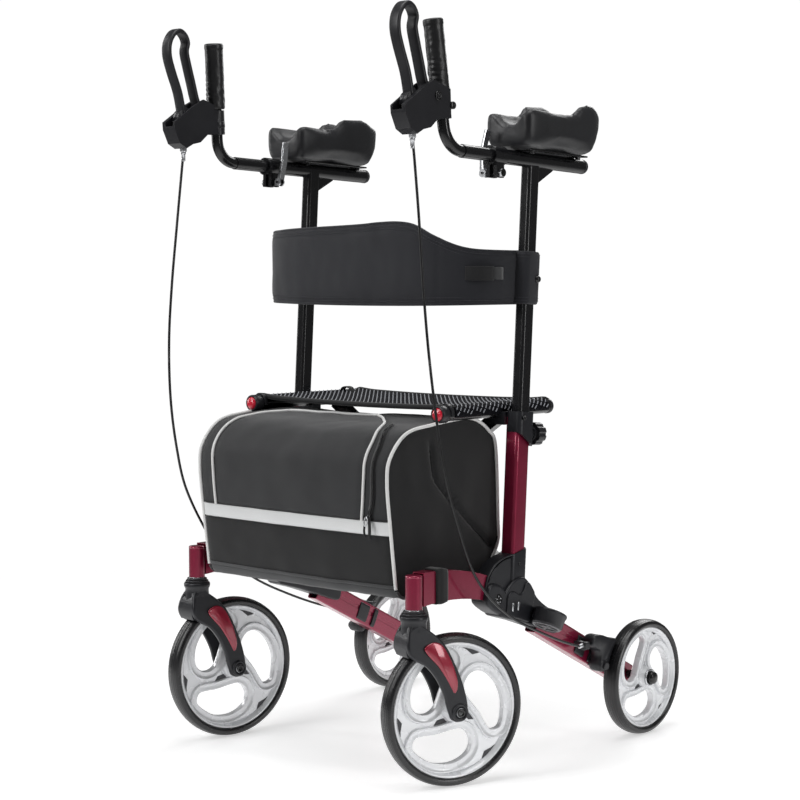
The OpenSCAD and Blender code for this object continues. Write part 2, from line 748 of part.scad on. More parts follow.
// plan of the backrest strap's middle, bowed to the front between the posts; grow widens it
module strap_plan(grow) {
    half = post_x - 11;
    depth = strap_post_y - strap_front;
    corner = 95;
    translate([0, strap_post_y + 6]) {
        translate([-half - grow, -depth + corner]) square([2 * half + 2 * grow, depth - corner]);
        translate([-half + corner, -depth - grow]) square([2 * half - 2 * corner, depth + grow]);
        for (x = [-1, 1]) translate([x * (half - corner), -depth + corner]) circle(r = corner + grow);
    }
}

module backrest_strap() {
    bottom = 788;
    sleeve = [490, 582]; // along the posts
    color([0.17, 0.17, 0.2]) difference() {
        union() {
            for (side = [LEFT, RIGHT]) on_side(side) on_post()
                box_bar(height_post_w + 1 + strap_t, height_post_d + 1 + strap_t, 8, sleeve[0], sleeve[1]);
            intersection() {
                translate([0, 0, bottom - 20]) linear_extrude(200) difference() {
                    strap_plan(strap_t / 2);
                    strap_plan(-strap_t / 2);
                }
                // the strap is tall in the middle and narrow at the posts
                translate([0, 60, 0]) rotate([90, 0, 0]) linear_extrude(400) polygon([
                    [-270, bottom - 2], [-270, bottom + 90], [-245, bottom + 130], [-180, bottom + 136],
                    [60, bottom + strap_h], [115, bottom + strap_h - 2], [150, bottom + 125],
                    [205, bottom + 100], [270, bottom + 88], [270, bottom]
                ]);
                translate([-300, -400, 700]) cube([600, 398 + strap_post_y, 300]);
            }
        }
        for (side = [LEFT, RIGHT]) on_side(side)
            on_post() box_bar(height_post_w + 1, height_post_d + 1, 6, 400, 700);
    }
}

// side outline of the bag, smaller by inset
module bag_outline(inset) {
    front = bag_y[0] + inset;
    back = bag_y[1] - inset;
    floor_z = bag_top - bag_h + inset;
    top = bag_top - inset;
    polygon(concat(
        [[back - 66, floor_z + 10], [front + 22, floor_z]],
        shallow_arc([front + 22, floor_z], [front, 500], 4, 4),
        shallow_arc([front, 500], [front + 66, top - 6], 20, 8),
        [[front + 150, top], [back - 68, top]],
        shallow_arc([back - 68, top], [back, 536], 14, 6),
        shallow_arc([back, 400], [back - 66, floor_z + 10], 16, 5)
    ));
}

module bag() {
    half = bag_w / 2;
    color([0.2, 0.2, 0.21]) difference() {
        side_plate(-half, half) bag_outline(0);
        side_plate(-half + bag_t, half - bag_t) bag_outline(bag_t);
    }
}

// cup for the tip of a walking stick, square to the left rear leg
module walking_stick_cup() {
    wall_x = 284.5; // outer face of the frame joint, with room
    bore_r = 20;
    color([0.16, 0.16, 0.18]) difference() {
        translate([307, -20, 236]) rotate([leg_slope, 0, 0]) difference() {
            union() {
                cylinder(r = 24.5, h = 42);
                translate([0, 0, 37]) cylinder(r = 28, h = 6);
            }
            translate([0, 0, 4]) cylinder(r = bore_r, h = 60);
            for (a = [45, 135]) rotate(a) translate([-13, -2, -1]) cube([26, 4, 8]);
        }
        translate([wall_x - 60, -100, 150]) cube([60, 200, 200]);
    }
}

upright(LEFT);  // upright_left
front_arm(LEFT);  // front_arm_left
rear_leg(LEFT);  // rear_leg_left
frame_joint(LEFT);  // frame_joint_left
height_collar(LEFT);  // height_collar_left
height_knob(LEFT);  // height_knob_left
height_post(LEFT);  // height_post_left
arm_tube(LEFT);  // arm_tube_left
pad_plate(LEFT);  // pad_plate_left
forearm_pad(LEFT);  // forearm_pad_left
handle_tube(LEFT);  // handle_tube_left
hand_grip(LEFT);  // hand_grip_left
brake_housing(LEFT);  // brake_housing_left
brake_lever(LEFT);  // brake_lever_left
quick_release_lever(LEFT);  // quick_release_lever_left
brake_cable(LEFT);  // brake_cable_left
brake_bracket(LEFT);  // brake_bracket_left
brake_shoe(LEFT);  // brake_shoe_left
caster_fork(LEFT);  // caster_fork_left
caster_pins(LEFT);  // caster_pins_left
front_tyre(LEFT);  // front_tyre_left
front_rim(LEFT);  // front_rim_left
rear_tyre(LEFT);  // rear_tyre_left
rear_rim(LEFT);  // rear_rim_left
rear_axle(LEFT);  // rear_axle_left
cross_brace(LEFT);  // cross_brace_left
seat_rail(LEFT);  // seat_rail_left
upright(RIGHT);  // upright_right
front_arm(RIGHT);  // front_arm_right
rear_leg(RIGHT);  // rear_leg_right
frame_joint(RIGHT);  // frame_joint_right
height_collar(RIGHT);  // height_collar_right
height_knob(RIGHT);  // height_knob_right
height_post(RIGHT);  // height_post_right
arm_tube(RIGHT);  // arm_tube_right
pad_plate(RIGHT);  // pad_plate_right
forearm_pad(RIGHT);  // forearm_pad_right
handle_tube(RIGHT);  // handle_tube_right
hand_grip(RIGHT);  // hand_grip_right
brake_housing(RIGHT);  // brake_housing_right
brake_lever(RIGHT);  // brake_lever_right
quick_release_lever(RIGHT);  // quick_release_lever_right
brake_cable(RIGHT);  // brake_cable_right
brake_bracket(RIGHT);  // brake_bracket_right
brake_shoe(RIGHT);  // brake_shoe_right
caster_fork(RIGHT);  // caster_fork_right
caster_pins(RIGHT);  // caster_pins_right
front_tyre(RIGHT);  // front_tyre_right
front_rim(RIGHT);  // front_rim_right
rear_tyre(RIGHT);  // rear_tyre_right
rear_rim(RIGHT);  // rear_rim_right
rear_axle(RIGHT);  // rear_axle_right
cross_brace(RIGHT);  // cross_brace_right
seat_rail(RIGHT);  // seat_rail_right
cross_pivot_bolt();
walking_stick_cup();
seat();
backrest_strap();
bag();
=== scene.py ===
import json
import math
import bpy
import bmesh
import numpy as np
from mathutils import Matrix, Vector, noise

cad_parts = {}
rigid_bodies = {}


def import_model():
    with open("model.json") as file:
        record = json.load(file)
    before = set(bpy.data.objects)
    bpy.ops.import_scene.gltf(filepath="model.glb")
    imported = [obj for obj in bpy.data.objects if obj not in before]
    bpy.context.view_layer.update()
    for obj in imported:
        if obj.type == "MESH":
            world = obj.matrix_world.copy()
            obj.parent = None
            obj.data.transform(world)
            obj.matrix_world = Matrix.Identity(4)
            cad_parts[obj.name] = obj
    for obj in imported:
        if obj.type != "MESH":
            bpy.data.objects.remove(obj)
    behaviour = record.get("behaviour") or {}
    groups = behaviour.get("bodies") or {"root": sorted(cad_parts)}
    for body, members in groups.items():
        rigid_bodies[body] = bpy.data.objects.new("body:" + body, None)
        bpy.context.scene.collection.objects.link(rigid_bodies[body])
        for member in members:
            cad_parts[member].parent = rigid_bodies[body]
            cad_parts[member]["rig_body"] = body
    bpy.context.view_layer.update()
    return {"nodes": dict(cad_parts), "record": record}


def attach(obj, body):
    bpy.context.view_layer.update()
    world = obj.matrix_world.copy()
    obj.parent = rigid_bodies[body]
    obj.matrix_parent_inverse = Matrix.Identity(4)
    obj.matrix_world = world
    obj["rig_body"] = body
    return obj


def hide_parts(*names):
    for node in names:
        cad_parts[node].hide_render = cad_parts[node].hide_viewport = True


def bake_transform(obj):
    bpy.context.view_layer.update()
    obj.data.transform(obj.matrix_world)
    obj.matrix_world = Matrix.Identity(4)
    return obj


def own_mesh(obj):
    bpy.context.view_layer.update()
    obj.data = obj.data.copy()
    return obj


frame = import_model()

# Lengths are millimetres until piece() turns them into metres. x is the walker's left, -y its front, z up.
SIDES = (("left", 1), ("right", -1))
SIGN = dict(SIDES)

# ---------- camera, in metres ----------

AZIMUTH, ELEVATION = math.radians(41.69), math.radians(3.70)
level_out = math.cos(ELEVATION)
back = Vector((math.sin(AZIMUTH) * level_out, -math.cos(AZIMUTH) * level_out, math.sin(ELEVATION)))
camera = bpy.data.objects.new("camera", bpy.data.cameras.new("camera"))
bpy.context.scene.collection.objects.link(camera)
camera.location = (2.331, -2.6706, 0.8413)
camera.rotation_mode = "QUATERNION"
camera.rotation_quaternion = (-back).to_track_quat("-Z", "Y")
camera.data.lens, camera.data.sensor_width = 87.88, 36
camera.data.clip_end = 100
bpy.context.scene.camera = camera

# ---------- places ----------


def place(x, y, z, *turns):
    """A matrix that moves to (x, y, z) and then makes each turn, given as (axis, degrees)."""
    m = Matrix.Translation((x, y, z))
    for axis, angle in turns:
        m = m @ Matrix.Rotation(math.radians(angle), 4, axis)
    return m


HERE = Matrix.Identity(4)
MIRROR = Matrix.Diagonal((-1, 1, 1, 1))
POST_X, POST_Y, POST_Z, POST_LEAN = 262, -55, 300, 3.4
POST = place(POST_X, POST_Y, POST_Z, ("X", -POST_LEAN))
ARM = place(264.5, -11.5, 1035, ("Z", 1.2), ("X", -2))
HANDLE = ARM @ place(0, -233, 0, ("Y", -3.2), ("X", 7.3))
LEG_ALONG = place(264, -1, 240, ("X", -27), ("X", -90))  # z runs down the rear leg
HEAD_X, HEAD_Y = 259.5, -311
CASTER = {"left": place(HEAD_X, HEAD_Y, 0, ("Z", -21.3)), "right": place(-HEAD_X, HEAD_Y, 0, ("Z", -9.8))}
TRAIL, FRONT_R, REAR_R = 70, 127, 105
REAR_AXLE = (306.7, 269, 105)
RAIL_X, RAIL_Z = 222, 607
LEVER_PIVOT = (-283, 1125)
SHOE_PIVOT = (150, 142)
CABLE_TOP = (270, -327)

# ---------- shapes: each returns (points, faces) ----------


def loft(rings, caps=True, around=True, along=False):
    """Joins rings of equal length. around closes each ring, along closes the row of rings."""
    n, k = len(rings), len(rings[0])
    points = [tuple(p) for ring in rings for p in ring]
    faces = []
    for i in range(n if along else n - 1):
        j = (i + 1) % n
        for a in range(k if around else k - 1):
            b = (a + 1) % k
            faces.append((i * k + a, i * k + b, j * k + b, j * k + a))
    if caps and around and not along:
        faces.append(tuple(range(k))[::-1])
        faces.append(tuple((n - 1) * k + a for a in range(k)))
    return points, faces


def smooth_line(points, steps=6, closed=False):
    """Points of a Catmull-Rom curve through the given points."""
    p = [np.array(q, float) for q in points]
    n = len(p)
    out = []
    for i in range(n if closed else n - 1):
        if closed:
            a, b, c, d = p[i - 1], p[i], p[(i + 1) % n], p[(i + 2) % n]
        else:
            a, b, c, d = p[max(i - 1, 0)], p[i], p[i + 1], p[min(i + 2, n - 1)]
        for s in range(steps):
            t = s / steps
            bend = (2 * a - 5 * b + 4 * c - d) * t * t + (3 * b - 3 * c + d - a) * t ** 3
            out.append(0.5 * (2 * b + (c - a) * t + bend))
    if not closed:
        out.append(p[-1])
    return out


def even(points, n):
    """n points at equal distances along a line."""
    p = np.array(points, float)
    t = lengths(p)
    u = np.linspace(0, t[-1], n)
    return np.stack([np.interp(u, t, p[:, i]) for i in range(p.shape[1])], 1)


def lengths(points):
    """The distance along a line at each of its points."""
    return np.concatenate([[0], np.cumsum(np.linalg.norm(np.diff(points, axis=0), axis=1))])


def closed_line(points, steps, n):
    """n even points round a smooth closed outline."""
    return even(smooth_line(points, steps, True) + [np.array(points[0], float)], n + 1)[:-1]


def offset_loop(loop, distance):
    """A closed planar loop of (a, b) points grown outwards."""
    p = np.array(loop, float)
    d = np.roll(p, -1, 0) - np.roll(p, 1, 0)
    normal = np.stack([d[:, 1], -d[:, 0]], 1) / np.linalg.norm(d, axis=1)[:, None]
    area = 0.5 * np.sum(p[:, 0] * np.roll(p[:, 1], -1) - np.roll(p[:, 0], -1) * p[:, 1])
    return p + normal * distance * (1 if area > 0 else -1)


def slices(outline, steps, lean=lambda x, z: x):
    """Rings of a (y, z) outline at each x of steps, grown outwards by the amount given with it."""
    return [[(lean(x, z), y, z) for y, z in offset_loop(outline, grow)] for x, grow in steps]


def stack(*args):
    return loft(slices(*args))


def level(outline, z):
    return [(a, b, z) for a, b in outline]


def sweep(path, profile, closed=False, up=(0, 0, 1)):
    """Moves a closed profile of (side, up) offsets along a path, keeping its up near the given one."""
    path = [np.array(q, float) for q in path]
    n = len(path)
    up = np.array(up, float)
    rings = []
    for i in range(n):
        if closed:
            d = path[(i + 1) % n] - path[i - 1]
        else:
            d = path[min(i + 1, n - 1)] - path[max(i - 1, 0)]
        d /= np.linalg.norm(d)
        side = np.cross(d, up)
        if np.linalg.norm(side) < 1e-4:
            side = np.cross(d, (1, 0.01, 0))
        side /= np.linalg.norm(side)
        top = np.cross(side, d)
        rings.append([path[i] + side * a + top * b for a, b in profile])
    return loft(rings, along=closed)


def polar(r, angle, a=0, b=0):
    """The point at an angle, in radians, and a distance from (a, b)."""
    return (a + r * math.cos(angle), b + r * math.sin(angle))


def circle(r, n=12):
    return [polar(r, 2 * math.pi * i / n) for i in range(n)]


def rounded(w, d, r, n=4):
    """Outline of a rounded rectangle, as (side, up) points."""
    a, b = w / 2 - r, d / 2 - r
    corners = ((a, b, 0), (-a, b, 90), (-a, -b, 180), (a, -b, 270))
    return [polar(r, math.radians(start + 90 * i / n), x, y) for x, y, start in corners for i in range(n + 1)]


def tube(path, r, sides=12, closed=False, up=(0, 0, 1)):
    return sweep(path, circle(r, sides), closed, up)


def on_axis(axis, c, s, h):
    return {"Z": (c, s, h), "X": (h, c, s), "Y": (s, h, c)}[axis]


def lathe(profile, axis="Z", n=48):
    """Turns a profile of (radius, height) points about an axis. It closes where the radius is 0."""
    return loft([[on_axis(axis, c, s, h) for c, s in circle(max(r, 0.01), n)] for r, h in profile])


def ring_lathe(profile, axis="X", n=96):
    """Turns a closed profile that doesn't reach the axis."""
    return loft([[on_axis(axis, r * c, r * s, h) for r, h in profile] for c, s in circle(1, n)], along=True)


def two_sided(profile):
    """A (radius, height) profile from its lower half, mirrored, to the given upper half."""
    return [(r, -h) for r, h in profile] + profile[::-1]


def flipped(points):
    return [(-a, b) for a, b in points[::-1]]


def join(*shapes):
    points, faces = [], []
    for p, f in shapes:
        base = len(points)
        points += list(p)
        faces += [tuple(base + i for i in g) for g in f]
    return points, faces


def moved(shape, matrix):
    return [tuple(matrix @ Vector(p)) for p in shape[0]], shape[1]


def ease(value, low, high):
    """A smooth step from 0 at low to 1 at high."""
    t = min(max((value - low) / (high - low), 0.0), 1.0)
    return t * t * (3 - 2 * t)


# ---------- pieces ----------

M = {}  # the looks, by name


def add_modifier(obj, kind, **values):
    m = obj.modifiers.new(kind.lower(), kind)
    for key, value in values.items():
        setattr(m, key, value)
    return m


def add_bevel(obj, width, angle=38):
    add_modifier(obj, "BEVEL", width=width / 1000, segments=2, limit_method="ANGLE", angle_limit=math.radians(angle),
                 harden_normals=True, use_clamp_overlap=True)
    add_modifier(obj, "WEIGHTED_NORMAL", keep_sharp=True)


def piece(name, shape, look, body, slot=None, at=HERE, side=1, smooth=True, uv=None, bevel=0, angle=38,
          stands_for=None):
    """Makes a piece from a shape. side -1 mirrors it onto the right. Without a body it stays unattached."""
    if side < 0:
        at = MIRROR @ at
    mesh = bpy.data.meshes.new(name)
    mesh.from_pydata([tuple((at @ Vector(p)) / 1000) for p in shape[0]], [], [list(f) for f in shape[1]])
    obj = bpy.data.objects.new(name, mesh)
    bpy.context.scene.collection.objects.link(obj)
    if uv is not None:
        layer = mesh.uv_layers.new(name="UVMap")
        for loop in mesh.loops:
            layer.data[loop.index].uv = uv[loop.vertex_index]
    b = bmesh.new()
    b.from_mesh(mesh)
    bmesh.ops.recalc_face_normals(b, faces=b.faces)
    for f in b.faces:
        f.smooth = smooth
    b.to_mesh(mesh)
    b.free()
    mesh.materials.append(M[look])
    if bevel:
        add_bevel(obj, bevel, angle)
    if body:
        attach(obj, body)
    if stands_for:
        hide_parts(stands_for)
    return obj


def part(name, s, shape, look, body, slot=None, at=HERE, stands_for=None, mirror=True, **more):
    """A piece of one side: its name, its body and the CAD node that it stands for all end in left or right."""
    return piece(f"{name}_{s}", shape, look, f"{body}_{s}", slot, at, SIGN[s] if mirror else 1,
                 stands_for=stands_for and f"{stands_for}_{s}", **more)


def softened(node, look, width=0.8, angle=32):
    """A copy of a CAD node with rounded edges, which stands for it."""
    source = frame["nodes"][node]
    obj = bpy.data.objects.new("soft_" + node, source.data.copy())
    bpy.context.scene.collection.objects.link(obj)
    b = bmesh.new()
    b.from_mesh(obj.data)
    bmesh.ops.remove_doubles(b, verts=b.verts, dist=2e-6)
    bmesh.ops.dissolve_limit(b, angle_limit=math.radians(1.2), verts=b.verts, edges=b.edges)
    for f in b.faces:
        f.smooth = True
    b.to_mesh(obj.data)
    b.free()
    if obj.data.has_custom_normals and "custom_normal" in obj.data.attributes:
        obj.data.attributes.remove(obj.data.attributes["custom_normal"])
    obj.data.materials.clear()
    obj.data.materials.append(M[look])
    add_bevel(obj, width, angle)
    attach(obj, source["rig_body"])
    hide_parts(node)


def bake(obj):
    """Applies the piece's modifiers to its mesh."""
    graph = bpy.context.evaluated_depsgraph_get()
    graph.update()
    mesh = bpy.data.meshes.new_from_object(obj.evaluated_get(graph))
    obj.modifiers.clear()
    material = obj.data.materials[0]
    obj.data = mesh
    if not mesh.materials:
        mesh.materials.append(material)
    for f in mesh.polygons:
        f.use_smooth = True


# ---------- looks ----------


class Mix:
    """A small helper around one material's nodes."""

    def __init__(self, name, color, rough, metallic=0.0, **sockets):
        self.material = bpy.data.materials.new(name)
        self.material.use_nodes = True
        self.tree = self.material.node_tree
        self.shader = self.tree.nodes["Principled BSDF"]
        self.color = tuple(color) + (1,)
        self.shader.inputs["Base Color"].default_value = self.color
        self.shader.inputs["Roughness"].default_value = rough
        self.shader.inputs["Metallic"].default_value = metallic
        for key, value in sockets.items():
            self.shader.inputs[key.replace("_", " ")].default_value = value
        self.relief = None
        self.material.diffuse_color = self.color

    def add(self, kind, **values):
        node = self.tree.nodes.new("ShaderNode" + kind)
        for key, value in values.items():
            socket = key.replace("_", " ")
            if socket in node.inputs:
                self.put(node.inputs[socket], value)
            else:
                setattr(node, key, value)
        return node

    def put(self, socket, value):
        if isinstance(value, bpy.types.NodeSocket):
            self.tree.links.new(value, socket)
        else:
            socket.default_value = value

    def coords(self, scale=(1, 1, 1), uv=False):
        source = self.add("TexCoord")
        mapping = self.add("Mapping", Vector=source.outputs["UV" if uv else "Object"])
        mapping.inputs["Scale"].default_value = scale
        return mapping.outputs["Vector"]

    def noise(self, scale, detail=3.0, vector=None, rough=0.5):
        node = self.add("TexNoise", Vector=vector or self.coords(), Scale=scale, Detail=detail, Roughness=rough)
        return node.outputs["Fac"]

    def cells(self, scale, output="Distance"):
        return self.add("TexVoronoi", Vector=self.coords(), Scale=scale).outputs[output]

    def math(self, operation, a, b=0.0):
        node = self.add("Math", operation=operation)
        self.put(node.inputs[0], a)
        self.put(node.inputs[1], b)
        return node.outputs[0]

    def waves(self, value, pitch):
        return self.math("SINE", self.math("MULTIPLY", value, 2 * math.pi / pitch))

    def span(self, value, low, high, a=0.0, b=1.0):
        """Maps a...b onto low...high."""
        node = self.add("MapRange", Value=value)
        for key, v in zip(("From Min", "From Max", "To Min", "To Max"), (a, b, low, high)):
            node.inputs[key].default_value = v
        return node.outputs[0]

    def tint(self, factor, other, amount=1.0):
        """Moves the base colour towards another by a factor."""
        node = self.add("Mix", data_type="RGBA")
        self.put(node.inputs["Factor"], self.math("MULTIPLY", factor, amount))
        before = self.shader.inputs["Base Color"]
        if before.is_linked:
            self.put(node.inputs[6], before.links[0].from_socket)
        else:
            node.inputs[6].default_value = self.color
        node.inputs[7].default_value = tuple(other) + (1,)
        self.tree.links.new(node.outputs[2], before)
        return self

    def rough(self, factor, low, high):
        self.put(self.shader.inputs["Roughness"], self.span(factor, low, high))
        return self

    def bump(self, height, depth, strength=1.0):
        """Adds relief, depth in millimetres."""
        node = self.add("Bump", Height=height, Strength=strength)
        node.inputs["Distance"].default_value = depth / 1000
        if self.relief is not None:
            self.put(node.inputs["Normal"], self.relief)
        self.relief = node.outputs["Normal"]
        self.put(self.shader.inputs["Normal"], self.relief)
        return self

    def weave(self, pitch, depth, dark=None, uv=True):
        """A plain weave of two sets of threads."""
        part = self.add("SeparateXYZ", Vector=self.coords((1, 1, 1), uv))
        a, b = self.waves(part.outputs[0], pitch), self.waves(part.outputs[1], pitch)
        threads = self.span(self.math("MULTIPLY", a, b), 0, 1, -1, 1)
        if dark is not None:
            self.tint(threads, dark, 0.45)
        return self.bump(threads, depth)


def shade(color, k):
    return tuple(c * k for c in color)


def painted(key, name, color, rough, metallic, grain, depth, vary=0.15, wear=None, **sockets):
    """Paint or plastic: fine grain, slow changes of shade and shine, and some wear."""
    m = Mix(name, color, rough, metallic, **sockets)
    slow = m.noise(14, 4)
    fine = m.noise(grain, 2)
    m.tint(m.span(slow, 0, 1, 0.35, 0.7), shade(color, 0.72), vary * 2)
    if wear:
        m.tint(m.span(m.noise(160, 6, rough=0.7), 0, 1, 0.62, 0.78), wear, 0.35)
    m.rough(m.noise(30, 5), max(rough - 0.07, 0.03), rough + 0.09)
    M[key] = m.bump(fine, depth).material


def cloth(key, name, color, pitch, depth, rough=0.8, light=None, sheen=0.25, uv=True):
    """Woven cloth: threads, slow changes of shade, fuzz and soft waves."""
    m = Mix(name, color, rough, Sheen_Weight=sheen, Sheen_Roughness=0.45, Specular_IOR_Level=0.3)
    m.tint(m.span(m.noise(7, 4), 0, 1, 0.3, 0.7), shade(color, 0.7), 0.5)
    m.weave(pitch, depth, light or shade(color, 1.9), uv)
    m.tint(m.span(m.noise(2500, 2), 0, 1, 0.45, 0.75), shade(color, 0.5), 0.5)
    M[key] = m.bump(m.noise(26, 5), 1.0, 0.35).material


painted("black", "black_coat", (0.006, 0.006, 0.007), 0.2, 0, 1500, 0.035, wear=(0.03, 0.03, 0.032),
        Specular_IOR_Level=0.55)
painted("plastic", "charcoal_plastic", (0.013, 0.013, 0.016), 0.36, 0, 2200, 0.05, wear=(0.05, 0.05, 0.055))
painted("casting", "charcoal_casting", (0.015, 0.0155, 0.019), 0.34, 0.15, 1800, 0.06, wear=(0.07, 0.07, 0.075))
painted("light_plastic", "light_plastic", (0.16, 0.16, 0.17), 0.35, 0, 1800, 0.04)
painted("gloss", "gloss_black", (0.008, 0.008, 0.009), 0.18, 0, 900, 0.01)
painted("steel", "zinc_steel", (0.62, 0.63, 0.65), 0.26, 1, 700, 0.02, wear=(0.35, 0.35, 0.36))
painted("rim", "silver_rim", (0.84, 0.85, 0.87), 0.26, 0.15, 1600, 0.02, vary=0.03, wear=(0.80, 0.81, 0.83),
        Coat_Weight=0.4, Coat_Roughness=0.15)
# rim_recess: dark grey for the thin plates in the rim's triangular recesses, painted shade of the recesses
painted("recess", "rim_recess", (0.05, 0.05, 0.055), 0.45, 0.2, 1600, 0.03)
painted("tyre", "tyre_rubber", (0.007, 0.007, 0.008), 0.27, 0, 500, 0.08, wear=(0.035, 0.034, 0.033),
        Specular_IOR_Level=0.6)
painted("sleeve", "cable_sleeve", (0.007, 0.007, 0.008), 0.3, 0, 700, 0.02)

crimson = Mix("crimson_paint", (0.26, 0.007, 0.042), 0.28, 0.5, Coat_Weight=0.7, Coat_Roughness=0.08)
flakes = crimson.add("SeparateXYZ", Vector=crimson.cells(2600, "Color")).outputs[0]
crimson.tint(crimson.span(flakes, 0, 1, 0.55, 1), (0.52, 0.04, 0.11), 0.6)
crimson.tint(crimson.span(crimson.noise(9, 3), 0, 1, 0.35, 0.7), (0.15, 0.004, 0.018), 0.35)
crimson.rough(crimson.noise(40, 4), 0.24, 0.36).bump(crimson.noise(700, 2), 0.02)
M["crimson"] = crimson.material

inlay = Mix("red_inlay", (0.30, 0.008, 0.03), 0.22, 0.25, Coat_Weight=1.0, Coat_Roughness=0.06)
inlay.tint(inlay.span(inlay.noise(25, 2), 0, 1, 0.4, 0.65), (0.42, 0.03, 0.06), 0.4).bump(inlay.noise(900, 2), 0.01)
M["inlay"] = inlay.material

# the reflector lens glows faintly red: its emission is a painted glow, as the lens is no lamp
lens = Mix("red_lens", (0.48, 0.004, 0.022), 0.12, Coat_Weight=0.8, Coat_Roughness=0.05,
           Emission_Color=(0.5, 0.0, 0.02, 1), Emission_Strength=0.12)
prisms = lens.cells(420)
lens.bump(prisms, 0.5).tint(lens.span(prisms, 0, 1, 0.1, 0.6), (0.75, 0.03, 0.06), 0.5)
M["lens"] = lens.material

rubber = Mix("grip_rubber", (0.012, 0.012, 0.013), 0.36)
rubber.bump(rubber.noise(70, 6, rubber.coords((1, 1, 0.35)), 0.65), 1.0, 0.4).bump(rubber.noise(1400, 2), 0.05)
rubber.rough(rubber.noise(60, 4), 0.26, 0.46)
M["rubber"] = rubber.material

pad = Mix("pad_skin", (0.005, 0.0052, 0.007), 0.33, Sheen_Weight=0.12, Specular_IOR_Level=0.5)
pad.bump(pad.cells(950), 0.10).bump(pad.noise(35, 4), 0.5, 0.4)
pad.rough(pad.noise(22, 4), 0.33, 0.47).tint(pad.span(pad.noise(10, 3), 0, 1, 0.4, 0.7), (0.012, 0.0125, 0.016), 0.5)
M["pad"] = pad.material

cloth("bag_flap", "bag_flap", (0.025, 0.0255, 0.027), 1.1, 0.12)
cloth("bag_dark", "bag_dark", (0.010, 0.010, 0.0105), 1.1, 0.12)
# bag_side is the body cloth darker still: painted shade on the side panels, which face away from the key light; the zip
# tape, pulls and hanging loops wear it as their own black
cloth("bag_side", "bag_side", (0.0065, 0.0065, 0.007), 1.1, 0.12)
cloth("seam", "seam_thread", (0.002, 0.002, 0.002), 0.9, 0.1, sheen=0.0, uv=False)
cloth("binding", "binding", (0.055, 0.056, 0.058), 0.9, 0.15, uv=False)
cloth("strap", "strap_cloth", (0.010, 0.0105, 0.0145), 0.8, 0.08, 0.7, sheen=0.35)
cloth("webbing", "webbing", (0.009, 0.009, 0.010), 1.6, 0.25, 0.75, uv=False)
cloth("piping", "piping", (0.88, 0.88, 0.87), 0.8, 0.1, 0.55, (0.78, 0.78, 0.77), uv=False)
# the seat's raised threads are light grey: painted glints of light on the weave's ribs
cloth("seat_thread_glint", "seat_thread_glint", (0.30, 0.31, 0.34), 0.9, 0.1, 0.45, uv=False)

band = Mix("reflective_band", (0.78, 0.79, 0.79), 0.42, 0.1, Coat_Weight=0.2, Coat_Roughness=0.3)
beads = band.cells(1900)
band.bump(beads, 0.08).tint(band.span(beads, 0, 1, 0.2, 0.7), (0.66, 0.67, 0.67), 0.6)
band.tint(band.span(band.noise(12, 4), 0, 1, 0.4, 0.75), (0.69, 0.70, 0.70), 0.5)
M["band"] = band.material

thread = Mix("thread", (0.05, 0.05, 0.06), 0.6)
thread.bump(thread.noise(2500, 2), 0.1).tint(thread.noise(300, 2), (0.02, 0.02, 0.025), 0.6)
M["thread"] = thread.material

# the seat: slanted ribs, cut into dashes, over a fine weave; the ribs' relief is real, their lighter tint is painted
# glint
seat_mix = Mix("seat_mesh", (0.005, 0.005, 0.007), 0.75, Specular_IOR_Level=0.08)
u, v = seat_mix.add("SeparateXYZ", Vector=seat_mix.coords(uv=True)).outputs[:2]
rib = seat_mix.waves(seat_mix.math("ADD", u, seat_mix.math("MULTIPLY", v, 0.62)), 9)
cut = seat_mix.waves(seat_mix.math("SUBTRACT", u, seat_mix.math("MULTIPLY", v, 1.3)), 5)
rib = seat_mix.span(seat_mix.span(rib, 0, 1, -1, 1), 0, 1, 0.5, 0.85)
ribs = seat_mix.math("MULTIPLY", rib, seat_mix.span(cut, 0, 1, -0.2, 0.5))
seat_mix.tint(ribs, (0.012, 0.0125, 0.016), 0.9).bump(ribs, 0.9).weave(1.5, 0.12)
M["seat"] = seat_mix.material

floor_mix = Mix("studio_floor", (0.80, 0.80, 0.80), 0.3, Specular_IOR_Level=0.25,
                Emission_Color=(1, 1, 1, 1), Emission_Strength=0.5)
floor_mix.tint(floor_mix.noise(3, 2), (0.79, 0.79, 0.79), 0.4).bump(floor_mix.noise(900, 2), 0.01)
# the floor fades into the white surroundings away from the walker
distance = floor_mix.add("VectorMath", operation="LENGTH")
floor_mix.put(distance.inputs[0], floor_mix.coords())
floor_mix.put(floor_mix.shader.inputs["Alpha"], floor_mix.span(distance.outputs["Value"], 1, 0, 0.9, 2.6))
M["floor"] = floor_mix.material

SLOT_LOOK = {
    "frame_paint": "crimson", "black_tube": "black", "dark_casting": "casting", "dark_plastic": "plastic",
    "lever_plastic": "plastic", "bright_alloy": "steel", "cable_sleeve": "sleeve", "steel": "steel",
    "axle_black": "gloss", "tyre_rubber": "tyre", "rim_plastic": "rim", "grip_rubber": "rubber", "pad_foam": "pad",
    "seat_mesh": "seat", "strap_fabric": "strap", "bag_fabric": "bag_dark",
}
node_slot = {s["node"]: s["material_slot"] for s in frame["record"]["subparts"]}
for name, obj in frame["nodes"].items():
    look = M[SLOT_LOOK[node_slot[name]]]
    if not obj.material_slots:
        obj.data.materials.append(look)
    for m_slot in obj.material_slots:
        m_slot.material = look

# ---------- floor, light: lamps in metres ----------

